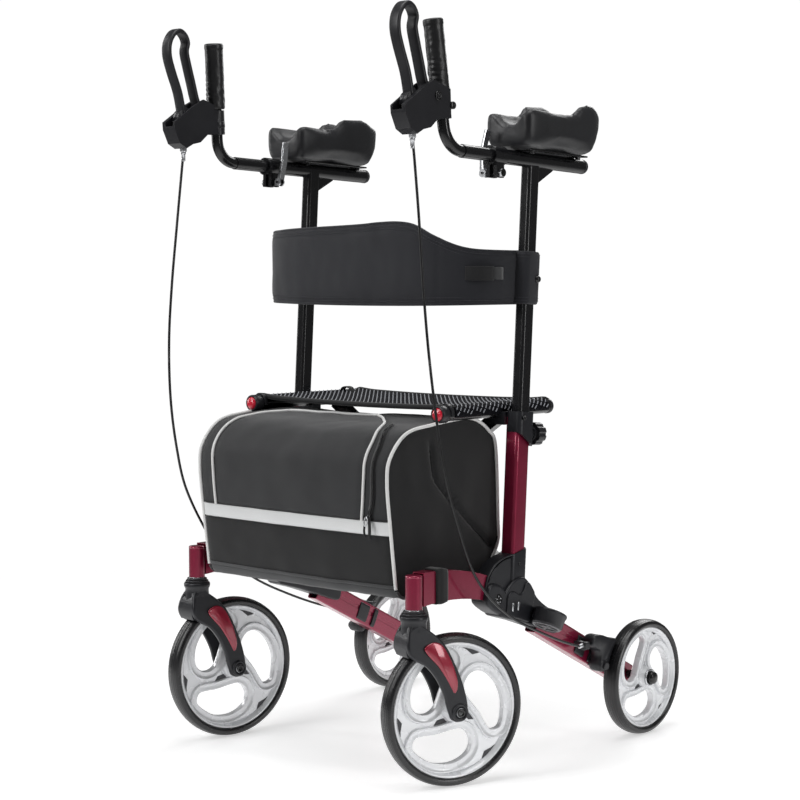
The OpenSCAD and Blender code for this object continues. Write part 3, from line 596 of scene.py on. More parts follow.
world = bpy.data.worlds.new("studio")
bpy.context.scene.world = world
world.use_nodes = True
sky = world.node_tree
ambient, white = sky.nodes["Background"], sky.nodes.new("ShaderNodeBackground")
for node, strength in ((ambient, 0.13), (white, 1.02)):
    node.inputs["Color"].default_value = (1, 1, 1, 1)
    node.inputs["Strength"].default_value = strength
mix_sky, path = sky.nodes.new("ShaderNodeMixShader"), sky.nodes.new("ShaderNodeLightPath")
sky.links.new(path.outputs["Is Camera Ray"], mix_sky.inputs[0])
sky.links.new(ambient.outputs[0], mix_sky.inputs[1])
sky.links.new(white.outputs[0], mix_sky.inputs[2])
sky.links.new(mix_sky.outputs[0], sky.nodes["World Output"].inputs["Surface"])
bpy.context.scene.view_settings.view_transform = "Standard"

disc, faces = lathe([(0.01, 0), (800, 0), (1600, 0), (2600, 0)], "Z", 64)
piece("floor", (disc, faces[:-2]), "floor", None)


def softbox(name, at, target, size, power):
    data = bpy.data.lights.new(name, "AREA")
    data.shape, data.size, data.size_y, data.energy = "RECTANGLE", size[0], size[1], power
    light = bpy.data.objects.new(name, data)
    bpy.context.scene.collection.objects.link(light)
    light.location = at
    light.rotation_mode = "QUATERNION"
    light.rotation_quaternion = (Vector(target) - Vector(at)).to_track_quat("-Z", "Y")


softbox("key", (-0.9, -3.2, 2.4), (0, -0.1, 0.6), (1.2, 2.4), 60)
softbox("right_strip", (3.3, 0.3, 1.6), (0, 0, 0.6), (0.6, 2.6), 30)
softbox("top", (0.3, -0.2, 3.3), (0, 0, 0.5), (2.0, 2.0), 44)
softbox("left_strip", (-3.0, -0.9, 1.7), (0, 0, 0.7), (0.5, 2.6), 26)
softbox("back_rim", (-0.8, 3.0, 2.4), (0, 0, 0.6), (1.4, 2.0), 36)

# ---------- rounded copies of the hard CAD parts ----------

SOFTENED = (
    ("front_arm", "crimson", 1.2), ("rear_leg", "crimson", 0.5), ("height_collar", "casting", 1.4),
    ("height_knob", "plastic", 1.2), ("height_post", "black", 0.4), ("arm_tube", "black", 0.8),
    ("pad_plate", "black", 0.8), ("handle_tube", "gloss", 0.4), ("brake_housing", "plastic", 2.2),
    ("quick_release_lever", "steel", 0.9), ("caster_pins", "steel", 0.6), ("rear_axle", "gloss", 0.7),
    ("cross_brace", "black", 0.9), ("seat_rail", "black", 0.9),
)
for s in SIGN:
    for node, look, width in SOFTENED:
        softened(f"{node}_{s}", look, width)
softened("cross_pivot_bolt", "steel", 0.6)

# ---------- wheels ----------

WINDOW = [
    (-75.7, -53.5), (-69.8, -41.2), (-54, -38.6), (-33.3, -38.0), (-14, -35.0), (-0.4, -32.9), (13.6, -32.6),
    (27.0, -40.6), (33.5, -56.6), (29, -72), (13.6, -83.3), (-9.9, -89.1), (-38, -85.4), (-61.5, -72), (-73.0, -61.5),
]
WINDOW_RIM_R = 113  # the rim's edge in the wheel that the window was drawn for
WINDOW_FRAME = [  # (outwards from the window, height) of the raised frame
    (-0.4, 4.6), (0.8, 6.6), (3, 6.5), (7, 5.5), (10.4, 6.4), (11.8, 9.0), (12.8, 9.4), (13.8, 9.0), (15.2, 4.6)]
RECESSES = (  # dark fields between the windows, painted shade of the web's recesses, as (degrees, radius)
    ((83, 105), (72, 107), (59, 109.5), (63, 101), (68, 95.5), (76, 101)),
    ((214, 46), (206, 34), (214, 22), (236, 22), (252, 29), (232, 34)),
)
THIRDS = (0, 2 * math.pi / 3, 4 * math.pi / 3)


def turned(loop, angle):
    c, s = math.cos(angle), math.sin(angle)
    return np.array([(a * c - b * s, a * s + b * c) for a, b in loop])


def plate(outer, holes, low, high):
    """A flat plate with holes between two values of x; loops are (y, z)."""
    loops = [outer] + holes
    flat = bmesh.new()
    for loop in loops:
        row = [flat.verts.new((0, a, b)) for a, b in loop]
        for i in range(len(row)):
            flat.edges.new((row[i - 1], row[i]))
    flat.verts.index_update()
    bmesh.ops.triangle_fill(flat, use_beauty=True, edges=flat.edges[:], normal=(1, 0, 0))
    flat.verts.index_update()
    triangles = [tuple(v.index for v in f.verts) for f in flat.faces]
    n = len(flat.verts)
    points = [(x, v.co.y, v.co.z) for x in (low, high) for v in flat.verts]
    flat.free()
    faces = triangles + [tuple(n + i for i in t) for t in triangles]
    base = 0
    for loop in loops:
        k = len(loop)
        for i in range(k):
            j = (i + 1) % k
            faces.append((base + i, base + j, n + base + j, n + base + i))
        base += k
    return points, faces


def tyre_section(r, inner, half=15.5):
    """(radius, height) round the tyre: a crowned tread with shallow grooves, rounded shoulders and two beads."""
    crown, spread = 32, math.radians(72)
    tread = []
    for i in range(33):
        x = half * math.sin(-spread + 2 * spread * i / 32) / math.sin(spread)
        groove = 0.45 if i % 4 == 2 else 0
        shoulder = max(0, abs(x) - 12.5) ** 2 * 0.35
        tread.append((math.sqrt(crown ** 2 - x * x) + r - crown - groove - shoulder, x))
    return [(inner, -half + 2.5), (inner + 2, -half + 0.4)] + tread + [(inner + 2, half - 0.4), (inner, half - 2.5)]


def wheel(end, s, at, r, depth, hub):
    """One wheel of radius r about X. depth is the tyre's height over the rim, hub half the hub's width."""
    k, inner = r / 127, r - depth
    where = dict(body=end + "_wheel", at=at, mirror=False)
    part("tyre_" + end, s, ring_lathe(tyre_section(r, inner), "X", 128), "tyre", stands_for=end + "_tyre", **where)

    edge = inner - 0.05
    lip = [(0, 10.5), (1.2, 12), (3, 12.2), (4.6, 11.2), (5.6, 9), (7, 7.6), (10, 5)]
    shapes = [ring_lathe(two_sided([(edge - d, h) for d, h in lip]), "X", 128)]
    window = closed_line(WINDOW, 8, 72) * inner / WINDOW_RIM_R
    windows = [turned(window, a) for a in THIRDS]
    for loop in windows:
        rings = [(offset_loop(loop, out * k), h) for out, h in WINDOW_FRAME]
        section = rings + [(ring, -h) for ring, h in rings[::-1]]
        shapes.append(loft([[(h, *ring[i]) for ring, h in section] for i in range(len(loop))], along=True))
    shapes.append(plate(circle(edge - 7, 96), [list(w) for w in windows], -4.8, 4.8))
    spindle = [(0, hub - 1), (13, hub), (15, hub - 1.5), (16, hub - 5), (18, 10), (21, 6)]
    shapes.append(lathe(two_sided(spindle), "X", 64))
    part("rim_" + end, s, join(*shapes), "rim", bevel=0.5, angle=50, stands_for=end + "_rim", **where)

    # thin dark plates over the web's triangular recesses: painted shade
    darks = []
    for turn in (0, 120, 240):
        for corners in RECESSES:
            flat = [polar(q * k, math.radians(a + turn)) for a, q in corners]
            darks += [stack(flat, ((face * 4.0, 0), (face * 5.4, 0))) for face in (1, -1)]
    part("rim_recess_" + end, s, join(*darks), "recess", smooth=False, **where)



for s, sign in SIDES:
    wheel("front", s, CASTER[s] @ place(0, TRAIL, FRONT_R), FRONT_R, 14, 17.5)
    wheel("rear", s, place(sign * REAR_AXLE[0], *REAR_AXLE[1:]), REAR_R, 13, 16.5)
    cap = lathe([(0, 30), (7, 29.6), (10.4, 28), (11.3, 25), (11.5, 18), (0, 18)], "X", 40)
    part("hub_cap", s, cap, "gloss", "frame", "axle_black", place(*REAR_AXLE))
    ring = ring_lathe([(12.4, 16), (15.5, 16), (16, 18), (15, 20), (13, 20.2), (12.2, 18)], "X", 48)
    part("hub_ring", s, ring, "steel", "rear_wheel", at=place(*REAR_AXLE))

# ---------- bag ----------

BAG_HALF = 222
BAG_LINE = closed_line([
    (-200, 306), (-290, 308), (-314, 328), (-328, 431), (-335, 503), (-328, 543), (-289, 580), (-225, 591),
    (-142, 597), (-106, 592), (-75, 573), (-56, 544), (-49, 420), (-49, 380), (-72, 345), (-111, 318)], 12, 160)
BAG_N = len(BAG_LINE)
BAG_MID = np.array((-190.0, 452.0))
BAG_OUT = offset_loop(BAG_LINE, 1) - BAG_LINE
BAG_STEP = float(np.mean(np.linalg.norm(np.roll(BAG_LINE, -1, 0) - BAG_LINE, axis=1)))
CREASE = [(-228, 559), (-219, 497), (-150, 436), (-67, 374), (-49, 420)]
bag_parts = []


def bag_at(x, u, lift=0.0):
    """A point on the bag: x across, u the (real) index round the side line."""
    i, f = int(math.floor(u)) % BAG_N, u - math.floor(u)
    j = (i + 1) % BAG_N
    y, z = BAG_LINE[i] * (1 - f) + BAG_LINE[j] * f
    n = BAG_OUT[i] * (1 - f) + BAG_OUT[j] * f
    n = n / np.linalg.norm(n)
    front, top, low = max(0.0, -n[0]), max(0.0, n[1]), max(0.0, -n[1])
    span = max(0.0, 1 - (x / BAG_HALF) ** 2)
    swell = (5.5 * front ** 2 + 1.5 * top ** 2 - 1.0 * low) * span ** 0.6
    swell -= 3.5 * top ** 2 * math.exp(-((x + 30) / 90) ** 2)  # the top sags between the rails
    q = Vector((x * 0.011, y * 0.013, z * 0.013))
    swell += 2.6 * noise.noise(q) * span + 1.1 * noise.noise(q * 2.7) * min(1, span * 3)
    swell -= 3.0 * (max(0.0, abs(x) - 212) / 10) ** 2
    return (x, y + n[0] * (swell + lift), z + n[1] * (swell + lift))


def bag_u(y, z):
    """The place round the side line nearest a point."""
    i = int(np.argmin(np.hypot(BAG_LINE[:, 0] - y, BAG_LINE[:, 1] - z)))
    before, after = (np.hypot(*(BAG_LINE[j % BAG_N] - (y, z))) for j in (i - 1, i + 1))
    return i + 0.5 * (before - after) / (before + after)


def on_bag(points, lift, steps=8):
    """A smooth line of (x, y, z) points laid on the bag."""
    p = np.array([bag_at(x, bag_u(y, z), lift) for x, y, z in smooth_line(points, steps)])
    for _ in range(2):
        p[1:-1] = 0.5 * p[1:-1] + 0.25 * (p[:-2] + p[2:])
    return p


def bag_piece(name, shape, look, uv=None):
    obj = piece(name, shape, look, "frame_left", "bag_fabric", uv=uv)
    bag_parts.append(obj)
    return obj


def bag_shell():
    edge = [-222, -220, -217, -212, -204]
    xs = edge + list(range(-192, 193, 12)) + [-x for x in edge[::-1]]
    rings = [[bag_at(x, u) for u in range(BAG_N)] for x in xs]
    uv = [(x, u * BAG_STEP) for x in xs for u in range(BAG_N)]
    shell = bag_piece("bag_shell", loft(rings, caps=False), "bag_dark", uv=uv)
    shell.data.materials.append(M["bag_flap"])
    for f in shell.data.polygons:
        x, y, z = f.center * 1000
        if z > 428 and y < -60 and not (y > -90 and z < 560):
            f.material_index = 1
    return shell


def segment_distance(p, a, b):
    a, b, p = np.array(a, float), np.array(b, float), np.array(p, float)
    t = np.clip(np.dot(p - a, b - a) / np.dot(b - a, b - a), 0, 1)
    return float(np.linalg.norm(p - a - t * (b - a)))


def side_bulge(y, z, f, sign):
    """Where the side panel stands at (y, z), creased; f goes from 0 at its middle to 1 at the piping."""
    if f > 0.985:
        return 221.5 * sign
    d = min(segment_distance((y, z), CREASE[i], CREASE[i + 1]) for i in range(3))
    out = BAG_HALF - 1.0 + 5.5 * (1 - f ** 2.2)
    out -= 5.2 * math.exp(-((d / 3.4) ** 2)) - 0.8 * math.exp(-(((d - 14) / 9) ** 2))
    out += 2.2 * noise.noise(Vector((y * 0.018, z * 0.012, 5 * sign))) * (1 - f ** 4)
    return out * sign


def bag_side(s, sign):
    """The side panel with its crease, piping round the top and binding under it; its cloth is darker than the body's,
    painted shade.
    """
    rings, uv = [], []
    for f in (1.0, 0.985, 0.95, *np.linspace(0.9, 0.8, 3), *np.linspace(0.74, 0.08, 12), 0.03):
        line = BAG_MID + (BAG_LINE - BAG_MID) * f
        rings.append([(side_bulge(y, z, f, sign), y, z) for y, z in line])
        uv += [(y, z) for y, z in line]
    points, faces = loft(rings, caps=False)
    faces.append(tuple(range(len(points) - BAG_N, len(points))))
    bag_piece("bag_side_" + s, (points, faces), "bag_side", uv=uv)
    seam = even(smooth_line(CREASE, 8), 60)[2:-6]
    piping = even(smooth_line([
        (-314, 326), (-328, 431), (-335.5, 503), (-328, 543), (-289, 580), (-225, 591), (-142, 597.5), (-106, 592),
        (-75, 573), (-56, 544), (-49, 420), (-49, 380), (-72, 345), (-105, 322)], 10), 150)
    binding = even(smooth_line([(-105, 320), (-200, 308), (-290, 309), (-312, 322)], 10), 60)
    for name, line, r, sides, look in (
        ("bag_side_seam_", [(side_bulge(y, z, 0.6, sign) + sign * 0.5, y, z) for y, z in seam], 1.2, 6, "seam"),
        ("bag_piping_", [(sign * 223, y, z) for y, z in piping], 2.9, 8, "piping"),
        ("bag_binding_", [(sign * 223.5, y, z) for y, z in binding], 2.6, 8, "binding"),
    ):
        bag_piece(name + s, tube(line, r, sides, up=(1, 0, 0)), look)


def bag_flap():
    """The flap: cloth between two borders, with piping on three edges."""
    left_edge = [
        (-184, -326, 437), (-184, -332, 494), (-188, -327, 553), (-187, -305, 569), (-184, -294, 577),
        (-179, -265, 586), (-165, -225, 592), (-140, -192, 594)]
    right_edge = [
        (166, -325, 437), (176, -332, 510), (174, -320, 550), (170, -302, 570), (150, -262, 585), (110, -219, 591),
        (62, -180, 594)]
    back_edge = [left_edge[-1], (-100, -182, 595), (-40, -176, 595), (20, -175, 595), right_edge[-1]]
    left, right = (
        np.array([(x, bag_u(y, z)) for x, y, z in even(smooth_line(line, 8), 60)])
        for line in (left_edge, right_edge))
    patch, uv = [], []
    for i in range(60):
        row = [left[i] * (1 - j / 40) + right[i] * j / 40 for j in range(41)]
        patch.append([bag_at(x, u, 1.5 if 0 < i < 59 and 0 < j < 40 else -1.0) for j, (x, u) in enumerate(row)])
        uv += [(x, u * BAG_STEP) for x, u in row]
    bag_piece("bag_flap", loft(patch, caps=False, around=False), "bag_flap", uv=uv)
    for name, line in (("left", left_edge), ("right", right_edge), ("back", back_edge)):
        bag_piece("flap_piping_" + name, tube(on_bag(line, 2.4), 2.5, 8, up=(0, -0.7, 0.7)), "piping")


def strip(name, top, low, look, lift, x_end=220, thick=1.6, n=74):
    """A band of tape across the front, between two (y, z) points of the side line."""
    top, low = bag_u(*top), bag_u(*low)
    xs = [-x_end + 2 * x_end * i / (n - 1) for i in range(n)]
    rows, uv = [], []
    for t, drop in ((0, 0.5), (0.06, 0), (0.5, 0), (0.94, 0), (1, 0.5), (1, thick), (0, thick)):
        rows.append([bag_at(x, low * (1 - t) + top * t, lift - drop) for x in xs])
        uv += [(x, t * 22) for x in xs]
    bag_piece(name, loft(rows, caps=False, around=False, along=True), look, uv=uv)


def bag_zip():
    """Tape and teeth beside the flap's right border, with a slider, a ring and two pulls at its lower end."""
    line = [
        (168, -262, 583), (172, -275, 581), (186, -300, 566), (193, -318, 546), (194, -332, 504), (191, -330, 470),
        (184, -328, 452)]
    tape = [(-5, 0), (5, 0), (5, 0.9), (-5, 0.9)]
    bag_piece("zip_tape", sweep(on_bag(line, 1.2), tape, up=(0.1, -0.8, 0.6)), "bag_side")
    row, teeth = on_bag(line, 2.4, 22), []
    for i in range(1, len(row) - 1):
        d = row[i + 1] - row[i - 1]
        side = np.cross(d / np.linalg.norm(d), (0, -0.8, 0.6))
        side *= 2.2 / np.linalg.norm(side)
        teeth.append(tube([row[i] - side, row[i] + side], 0.65, 5))
    bag_piece("zip_teeth", join(*teeth), "gloss")
    end = np.array(bag_at(184, bag_u(-327, 446), 4.0))
    ring = [end + p for p in ((-4, -2, 0), (-7, -4, -8), (-4, -5, -15), (1, -4, -8))]
    bag_piece("zip_loop", tube(smooth_line(ring, 8, True), 1.1, 8, closed=True, up=(0, 1, 0)), "steel")
    bag_piece("zip_slider", sweep([end + (1, 0, 4), end + (1, -1, -6)], rounded(7, 4, 1.5), up=(0, -1, 0)), "gloss")
    for name, width, points in (
        ("zip_tab", 6, ((3, -3, -4), (5, -4, -16), (6, -5, -28), (6, -4, -36))),
        ("zip_tab_second", 4, ((-6, -4, -14), (-7, -4, -24), (-6, -3, -33))),
    ):
        pull = smooth_line([end + p for p in points], 5)
        bag_piece(name, sweep(pull, rounded(width, 2, 0.9), up=(0, -1, 0)), "bag_side")


def bag_loop(s, sign):
    """The loop of webbing that hangs the bag on a front arm."""
    outer, inner = [], []
    for i in range(9):
        y = -271 + 29 * i / 8
        t = (y + 300) / 188
        low, high = 302 - 18 * t + 40 * t * (1 - t), 357 - 31 * t + 36 * t * (1 - t)
        puff = 1.6 * math.sin(math.pi * i / 8) + 0.5 * noise.noise(Vector((i * 0.7, sign, 0)))
        for rings, grow in ((outer, 2.6 + puff), (inner, 0.6)):
            section = rounded(24 + 2 * grow, high - low + 2 * grow, 5)
            rings.append([(HEAD_X + a, y, (low + high) / 2 + b) for a, b in section])
    part("bag_loop", s, loft(outer + inner[::-1], along=True), "bag_side", "frame", "bag_fabric")


shell = bag_shell()
for s, sign in SIDES:
    bag_side(s, sign)
bag_flap()
strip("bag_band", (-328, 437), (-325, 415), "band", 1.9)
strip("bag_hem_top", (-314.5, 331), (-313.5, 327), "binding", 2.2)
strip("bag_hem", (-313.5, 327), (-305, 311), "binding", 1.2)
strip("band_edge_top", (-328.6, 439.5), (-328.2, 437), "bag_dark", 2.3)
strip("band_edge_low", (-325, 415), (-324.6, 412.5), "bag_dark", 2.3)
bag_zip()
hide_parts("bag")
for obj in bag_parts:
    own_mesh(obj)
for s, sign in SIDES:
    bag_loop(s, sign)

# ---------- seat ----------

SEAT_FRONT, SEAT_BACK = -177, 79
WRAP_R, SEAT_THICK = 14.4, 1.8


def seat_cross():
    """The cloth's (x, z) line: up the outer side of the right rail, over it, and across to the left one."""
    turns = [math.radians(205 - 115 * i / 8) for i in range(9)]
    half = [(-RAIL_X + WRAP_R * math.cos(a), RAIL_Z + WRAP_R * math.sin(a)) for a in turns]
    half += [(-205, 619.6), (-190, 618.3), (-165, 617.6), (-130, 616.8), (-90, 616.2), (-45, 615.8), (0, 615.6)]
    return even(half + flipped(half[:-1]), 97)


CROSS = seat_cross()
CROSS_AT = lengths(CROSS)
slope = np.gradient(CROSS, axis=0)
CROSS_OUT = np.stack([-slope[:, 1], slope[:, 0]], 1) / np.linalg.norm(slope, axis=1)[:, None]


def seat_dip(x, y):
    """Sag and ripples between the rails."""
    free = max(0.0, 1 - (x / 205) ** 2)
    ripple = 0.9 * noise.noise(Vector((x * 0.012, y * 0.016, 0))) * free
    return ripple - 2.6 * free ** 2 * math.sin(math.pi * (y - SEAT_FRONT) / (SEAT_BACK - SEAT_FRONT)) ** 2


def seat_cloth():
    ys = np.linspace(SEAT_FRONT, SEAT_BACK, 53)
    n, k = len(ys), len(CROSS)
    rows, uv = [], []
    for lift, order in ((0, ys), (-SEAT_THICK, ys[::-1])):
        for y in order:
            rows.append([
                (x + ox * lift, y, z + oz * lift + seat_dip(x, y)) for (x, z), (ox, oz) in zip(CROSS, CROSS_OUT)])
            uv += [(length, y) for length in CROSS_AT]
    points, faces = loft(rows, around=False, along=True)
    for c in (0, k - 1):  # the cloth's two ends
        for r in range(n - 1):
            under = 2 * n - 1 - r
            faces.append((r * k + c, (r + 1) * k + c, (under - 1) * k + c, under * k + c))
    return piece("seat_cloth", (points, faces), "seat", None, uv=uv, stands_for="seat")


def seat_hem(end, y):
    line = [(x, y + 0.8 * noise.noise(Vector((x * 0.03, y, 1))), z - 1.5) for x, z in CROSS if abs(x) < 231]
    return piece("seat_hem_" + end, tube(line, 4.6, 10, up=(0, 1, 0)), "webbing", None, "seat_mesh")


def seat_threads():
    """Rows of raised slanting dashes, light grey as painted glints on the weave. They line up into columns along the
    shear.
    """
    def at(length, y, lift):
        x, z, ox, oz = (np.interp(length, CROSS_AT, line[:, i]) for line in (CROSS, CROSS_OUT) for i in (0, 1))
        return np.array((x + ox * lift, y, z + oz * lift + seat_dip(x, y)))

    box = [(0, 1, 2, 3), (7, 6, 5, 4), (0, 4, 5, 1), (1, 5, 6, 2), (2, 6, 7, 3), (3, 7, 4, 0)]
    pitch, shear, slant, low, high = 9.8, 0.89, (2.6, 2.8), 0.2, 1.4
    dashes = []
    for row in range(30):
        y = -171 + row * 8.4
        for column in range(80):
            length = 5 + column * pitch - shear * (y + 171)
            if not 6 < length < CROSS_AT[-1] - 6:
                continue
            a, top_a, b, top_b = (
                at(length + k * slant[0], y - k * slant[1], lift) for k in (1, -1) for lift in (low, high))
            side = np.cross(b - a, top_a - a)
            side /= np.linalg.norm(side)
            points = []
            for foot, top in ((a, top_a), (b, top_b)):
                points += [foot - side, foot + side, top + side * 0.5, top - side * 0.5]
            dashes.append((points, box))
    return piece("seat_threads", join(*dashes), "seat_thread_glint", None, smooth=False)


seat = seat_cloth()
hems = [seat_hem("front", -179), seat_hem("rear", 81)]
pull = smooth_line([
    (-217, 26, 618), (-214, 25, 624), (-208, 25, 627), (-201, 25, 627.5), (-194, 25, 625), (-189, 26, 618)], 6)
pull_strap = piece("seat_pull_strap", sweep(pull, rounded(2.4, 13, 1.1), up=(0, 1, 0)), "webbing", None, "seat_mesh")
hems.append(seat_threads())
for obj in [seat, pull_strap] + hems:
    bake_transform(obj)

# ---------- backrest strap ----------

STRAP_Y = POST_Y + (840 - POST_Z) * math.tan(math.radians(POST_LEAN))  # of the posts at the strap's height
STRAP_MID_Z = 842
PLAN = even(smooth_line([(x, STRAP_Y + y) for x, y in (
    (251, 8), (251, -10), (250.5, -35), (247, -62), (236, -90), (215, -113), (186, -129), (150, -138), (100, -141.5),
    (50, -142.5), (0, -143), (-50, -142.5), (-100, -142), (-150, -140), (-190, -135), (-222, -124), (-241, -103),
    (-249, -74), (-251, -38), (-251, -10), (-251, 8))], 8), 150)
STRAP_TOP = np.array(even(smooth_line([
    (-260, 886), (-252, 896), (-247, 907), (-238, 914), (-222, 917), (-200, 918), (-150, 920.5), (0, 925), (50, 928),
    (95, 928.5), (130, 923), (165, 906), (200, 890), (225, 882), (250, 879), (262, 879)], 8), 200))


def strap_edges(x):
    """Heights of the lower and the upper edge."""
    return 788 + 3.5 * (abs(x) / POST_X) ** 2, float(np.interp(x, STRAP_TOP[:, 0], STRAP_TOP[:, 1]))


def strap_at(i, v, lift):
    """A point on the strap: i along the plan, v from 0 at the bottom edge to 1 at the top, lift outwards."""
    i0 = int(min(max(math.floor(i), 0), len(PLAN) - 1))
    x, y = PLAN[i0] * (1 - (i - i0)) + PLAN[min(i0 + 1, len(PLAN) - 1)] * (i - i0)
    dx, dy = PLAN[min(i0 + 1, len(PLAN) - 1)] - PLAN[max(i0 - 1, 0)]
    low, high = strap_edges(x)
    z = low + (high - low) * v
    wave = 1.6 * noise.noise(Vector((x * 0.013, y * 0.013, z * 0.02)))
    wave += 0.7 * noise.noise(Vector((x * 0.04, z * 0.03, 3))) - 1.5 * math.exp(-(((x - 178) / 4) ** 2))
    out = (lift + wave) / math.hypot(dx, dy) * STRAP_OUT
    return (x - dy * out, y + dx * out, z)


STRAP_OUT = -1 if PLAN[76][0] - PLAN[74][0] > 0 else 1


def strap_piece(name, shape, look="strap", uv=None):
    strap_parts.append(piece("backrest_" + name, shape, look, "post_left", "strap_fabric", uv=uv))


def strap_band():
    vs = [0, 0.012, 0.03, 0.07, 0.12, 0.2, 0.3, 0.4, 0.5, 0.6, 0.7, 0.8, 0.88, 0.93, 0.97, 0.988, 1]
    section = []  # (v, lift) up the outside, with a stitched groove near each edge, and down the inside
    for v in vs:
        edge = min(v, 1 - v)
        section.append((v, 1.7 + 2.9 * (1 - math.exp(-edge * 26)) - 0.9 * math.exp(-(((edge - 0.075) / 0.016) ** 2))))
    section += [(v, -1.7 - 1.3 * (1 - math.exp(-min(v, 1 - v) * 26))) for v in vs[::-1]]
    rings = [[strap_at(i, v, lift) for v, lift in section] for i in range(len(PLAN))]
    strap_piece("band", loft(rings), uv=[(i * 5.2, v * 135) for i in range(len(PLAN)) for v, lift in section])


def stitches(line, step=5.2, stitch=3.4):
    """Short raised threads along a line of points."""
    p = np.array(line)
    d = lengths(p)
    shapes = []
    t = step / 2
    while t + stitch < d[-1]:
        ends = [np.array([np.interp(t + k, d, p[:, c]) for c in range(3)]) for k in (0, stitch / 2, stitch)]
        shapes.append(tube(ends, 0.36, 5))
        t += step
    return join(*shapes)


def strap_stitches(name, inset):
    """A stitched line, inset from the lower edge or, if negative, from the upper one."""
    line = []
    for i in range(4, len(PLAN) - 4):
        low, high = strap_edges(PLAN[i][0])
        line.append(strap_at(i, (inset / (high - low)) % 1, 4.1))
    strap_piece("stitch_" + name, stitches(line), "thread")


def strap_end(s):
    """The sleeve of cloth round a post, its stitched lines and its snap button."""
    post_w, post_d, low, high = 23, 29, 490, 580
    heights = [low, 491.5, 496, 510, 536, 560, 574, 578.5, high]
    rows = []
    for k, h in enumerate(heights):
        grow = 3.6 + min(k, len(heights) - 1 - k, 2) * 1.1
        outline = rounded(post_w + 2 * grow, post_d + 2 * grow, 9.5, 5)
        rows.append([(a + 0.7 * noise.noise(Vector((a * 0.05, b * 0.05, h * 0.03))), b, h) for a, b in outline])
    rows += [level(rounded(24.2, 30.2, 7, 5), h) for h in (high, low)]
    uv = [(j * 4.5, row[0][2]) for row in rows for j in range(len(row))]
    part("backrest_wrap", s, loft(rows, along=True), "strap", "post", at=POST, uv=uv)
    lines = [stitches(level(rounded(post_w + 12.2, post_d + 12.2, 9.5, 5), h)) for h in (496, 501, 570, 575)]
    part("backrest_wrap_stitch", s, join(*lines), "thread", "post", "strap_fabric", POST)
    snap = lathe([(0, 5.5), (3.4, 5.2), (5.2, 3.8), (6.0, 1.6), (6.6, 0.9), (6.6, 0), (0, 0)], "X", 32)
    part("backrest_snap", s, snap, "gloss", "post", at=place(279.5, -14, 832))


def strap_tab():
    """A webbing loop with its bar near the left corner."""
    for name, profile, look, line in (
        ("tab", (2.4, 24, 1.1), "webbing", ((16.5, 4.5), (18, 9), (21, 13), (24, 10), (26.5, 4))),
        ("tab_bar", (3, 21, 1.2), "binding", ((12.6, 5), (14.6, 6.6), (16.8, 6.2))),
    ):
        line = [strap_at(i, 0.5, lift) for i, lift in line]
        if name == "tab":
            line = smooth_line(line, 5)
        strap_piece(name, sweep([(x, y, STRAP_MID_Z) for x, y, z in line], rounded(*profile), up=(0, 0, 1)), look)


strap_parts = []
strap_band()
for end, v in (("top", 1), ("bottom", 0)):
    edge = [strap_at(i, v, 0) for i in range(1, len(PLAN) - 1)]
    strap_piece("edge_" + end, sweep(edge, rounded(6.2, 5, 2.3)))
for name, inset in (("top_outer", -5.5), ("top_inner", -11), ("low_outer", 5.5), ("low_inner", 11)):
    strap_stitches(name, inset)
for s in SIGN:
    strap_end(s)
strap_tab()
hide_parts("backrest_strap")
for obj in strap_parts:
    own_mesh(obj)

# ---------- forearm pads ----------

PAD_FRONT, PAD_BACK = -72.0, 132.0
PAD_SECTIONS = (  # (y, scale)
    (-73, 0.76), (-71, 0.86), (-67, 0.93), (-60, 0.97), (-48, 0.99), *((y, 1) for y in (-25, -5, 15, 35, 55, 75, 92)),
    (106, 0.995), (117, 0.985), (126, 0.965), (130.5, 0.93), (132, 0.87))


def pad_half(w, top, floor_z):
    """Half a section, from the trough's middle over the side with its top at that height to the underside."""
    return [
        (0, floor_z), (10, floor_z + 1.2), (20, floor_z + 6), (28, floor_z + 14), (33, floor_z + 22), (36, top - 7),
        (39, top - 1.5), (43, top), (w + 1, top - 3), (w + 3, top - 11), (w + 3, 44), (w + 2.5, 26), (w + 1, 12),
        (w - 3, 3.5), (w - 9, 0.5), (20, 0)]


def pad_ring(y, scale):
    """Section of the pad at y in the arm's frame; the sides rise in a lobe near the elbow."""
    t = (y - PAD_FRONT) / (PAD_BACK - PAD_FRONT)
    near = 65 + 7 * t + 16 * ease(t, 0.60, 0.76) * (1 - 0.8 * ease(t, 0.88, 1.0))
    far = 63 + 9 * t + 17 * ease(t, 0.40, 0.54) * (1 - 0.8 * ease(t, 0.80, 0.97))
    w = 45.5 + 1.8 * math.cos(2 * math.pi * t)
    floor_z = 33 + 3 * (1 - t) ** 2
    ring = []
    for x, z in pad_half(w, near, floor_z) + [(0, 0)] + flipped(pad_half(w, far, floor_z)[1:]):
        x, z = x * scale, 24 + (z - 24) * scale
        # both ends lean: the lower edge stays back
        tuck = 14 * ease(y, 60, PAD_BACK) * (1 - ease(z, 2, 38))
        tuck -= 4 * (1 - ease(y, PAD_FRONT, -25)) * (1 - ease(z, 0, 34))
        ring.append((x, y - tuck, z))
    return ring


def coordinates(obj):
    return np.array([v.co[:] for v in obj.data.vertices])


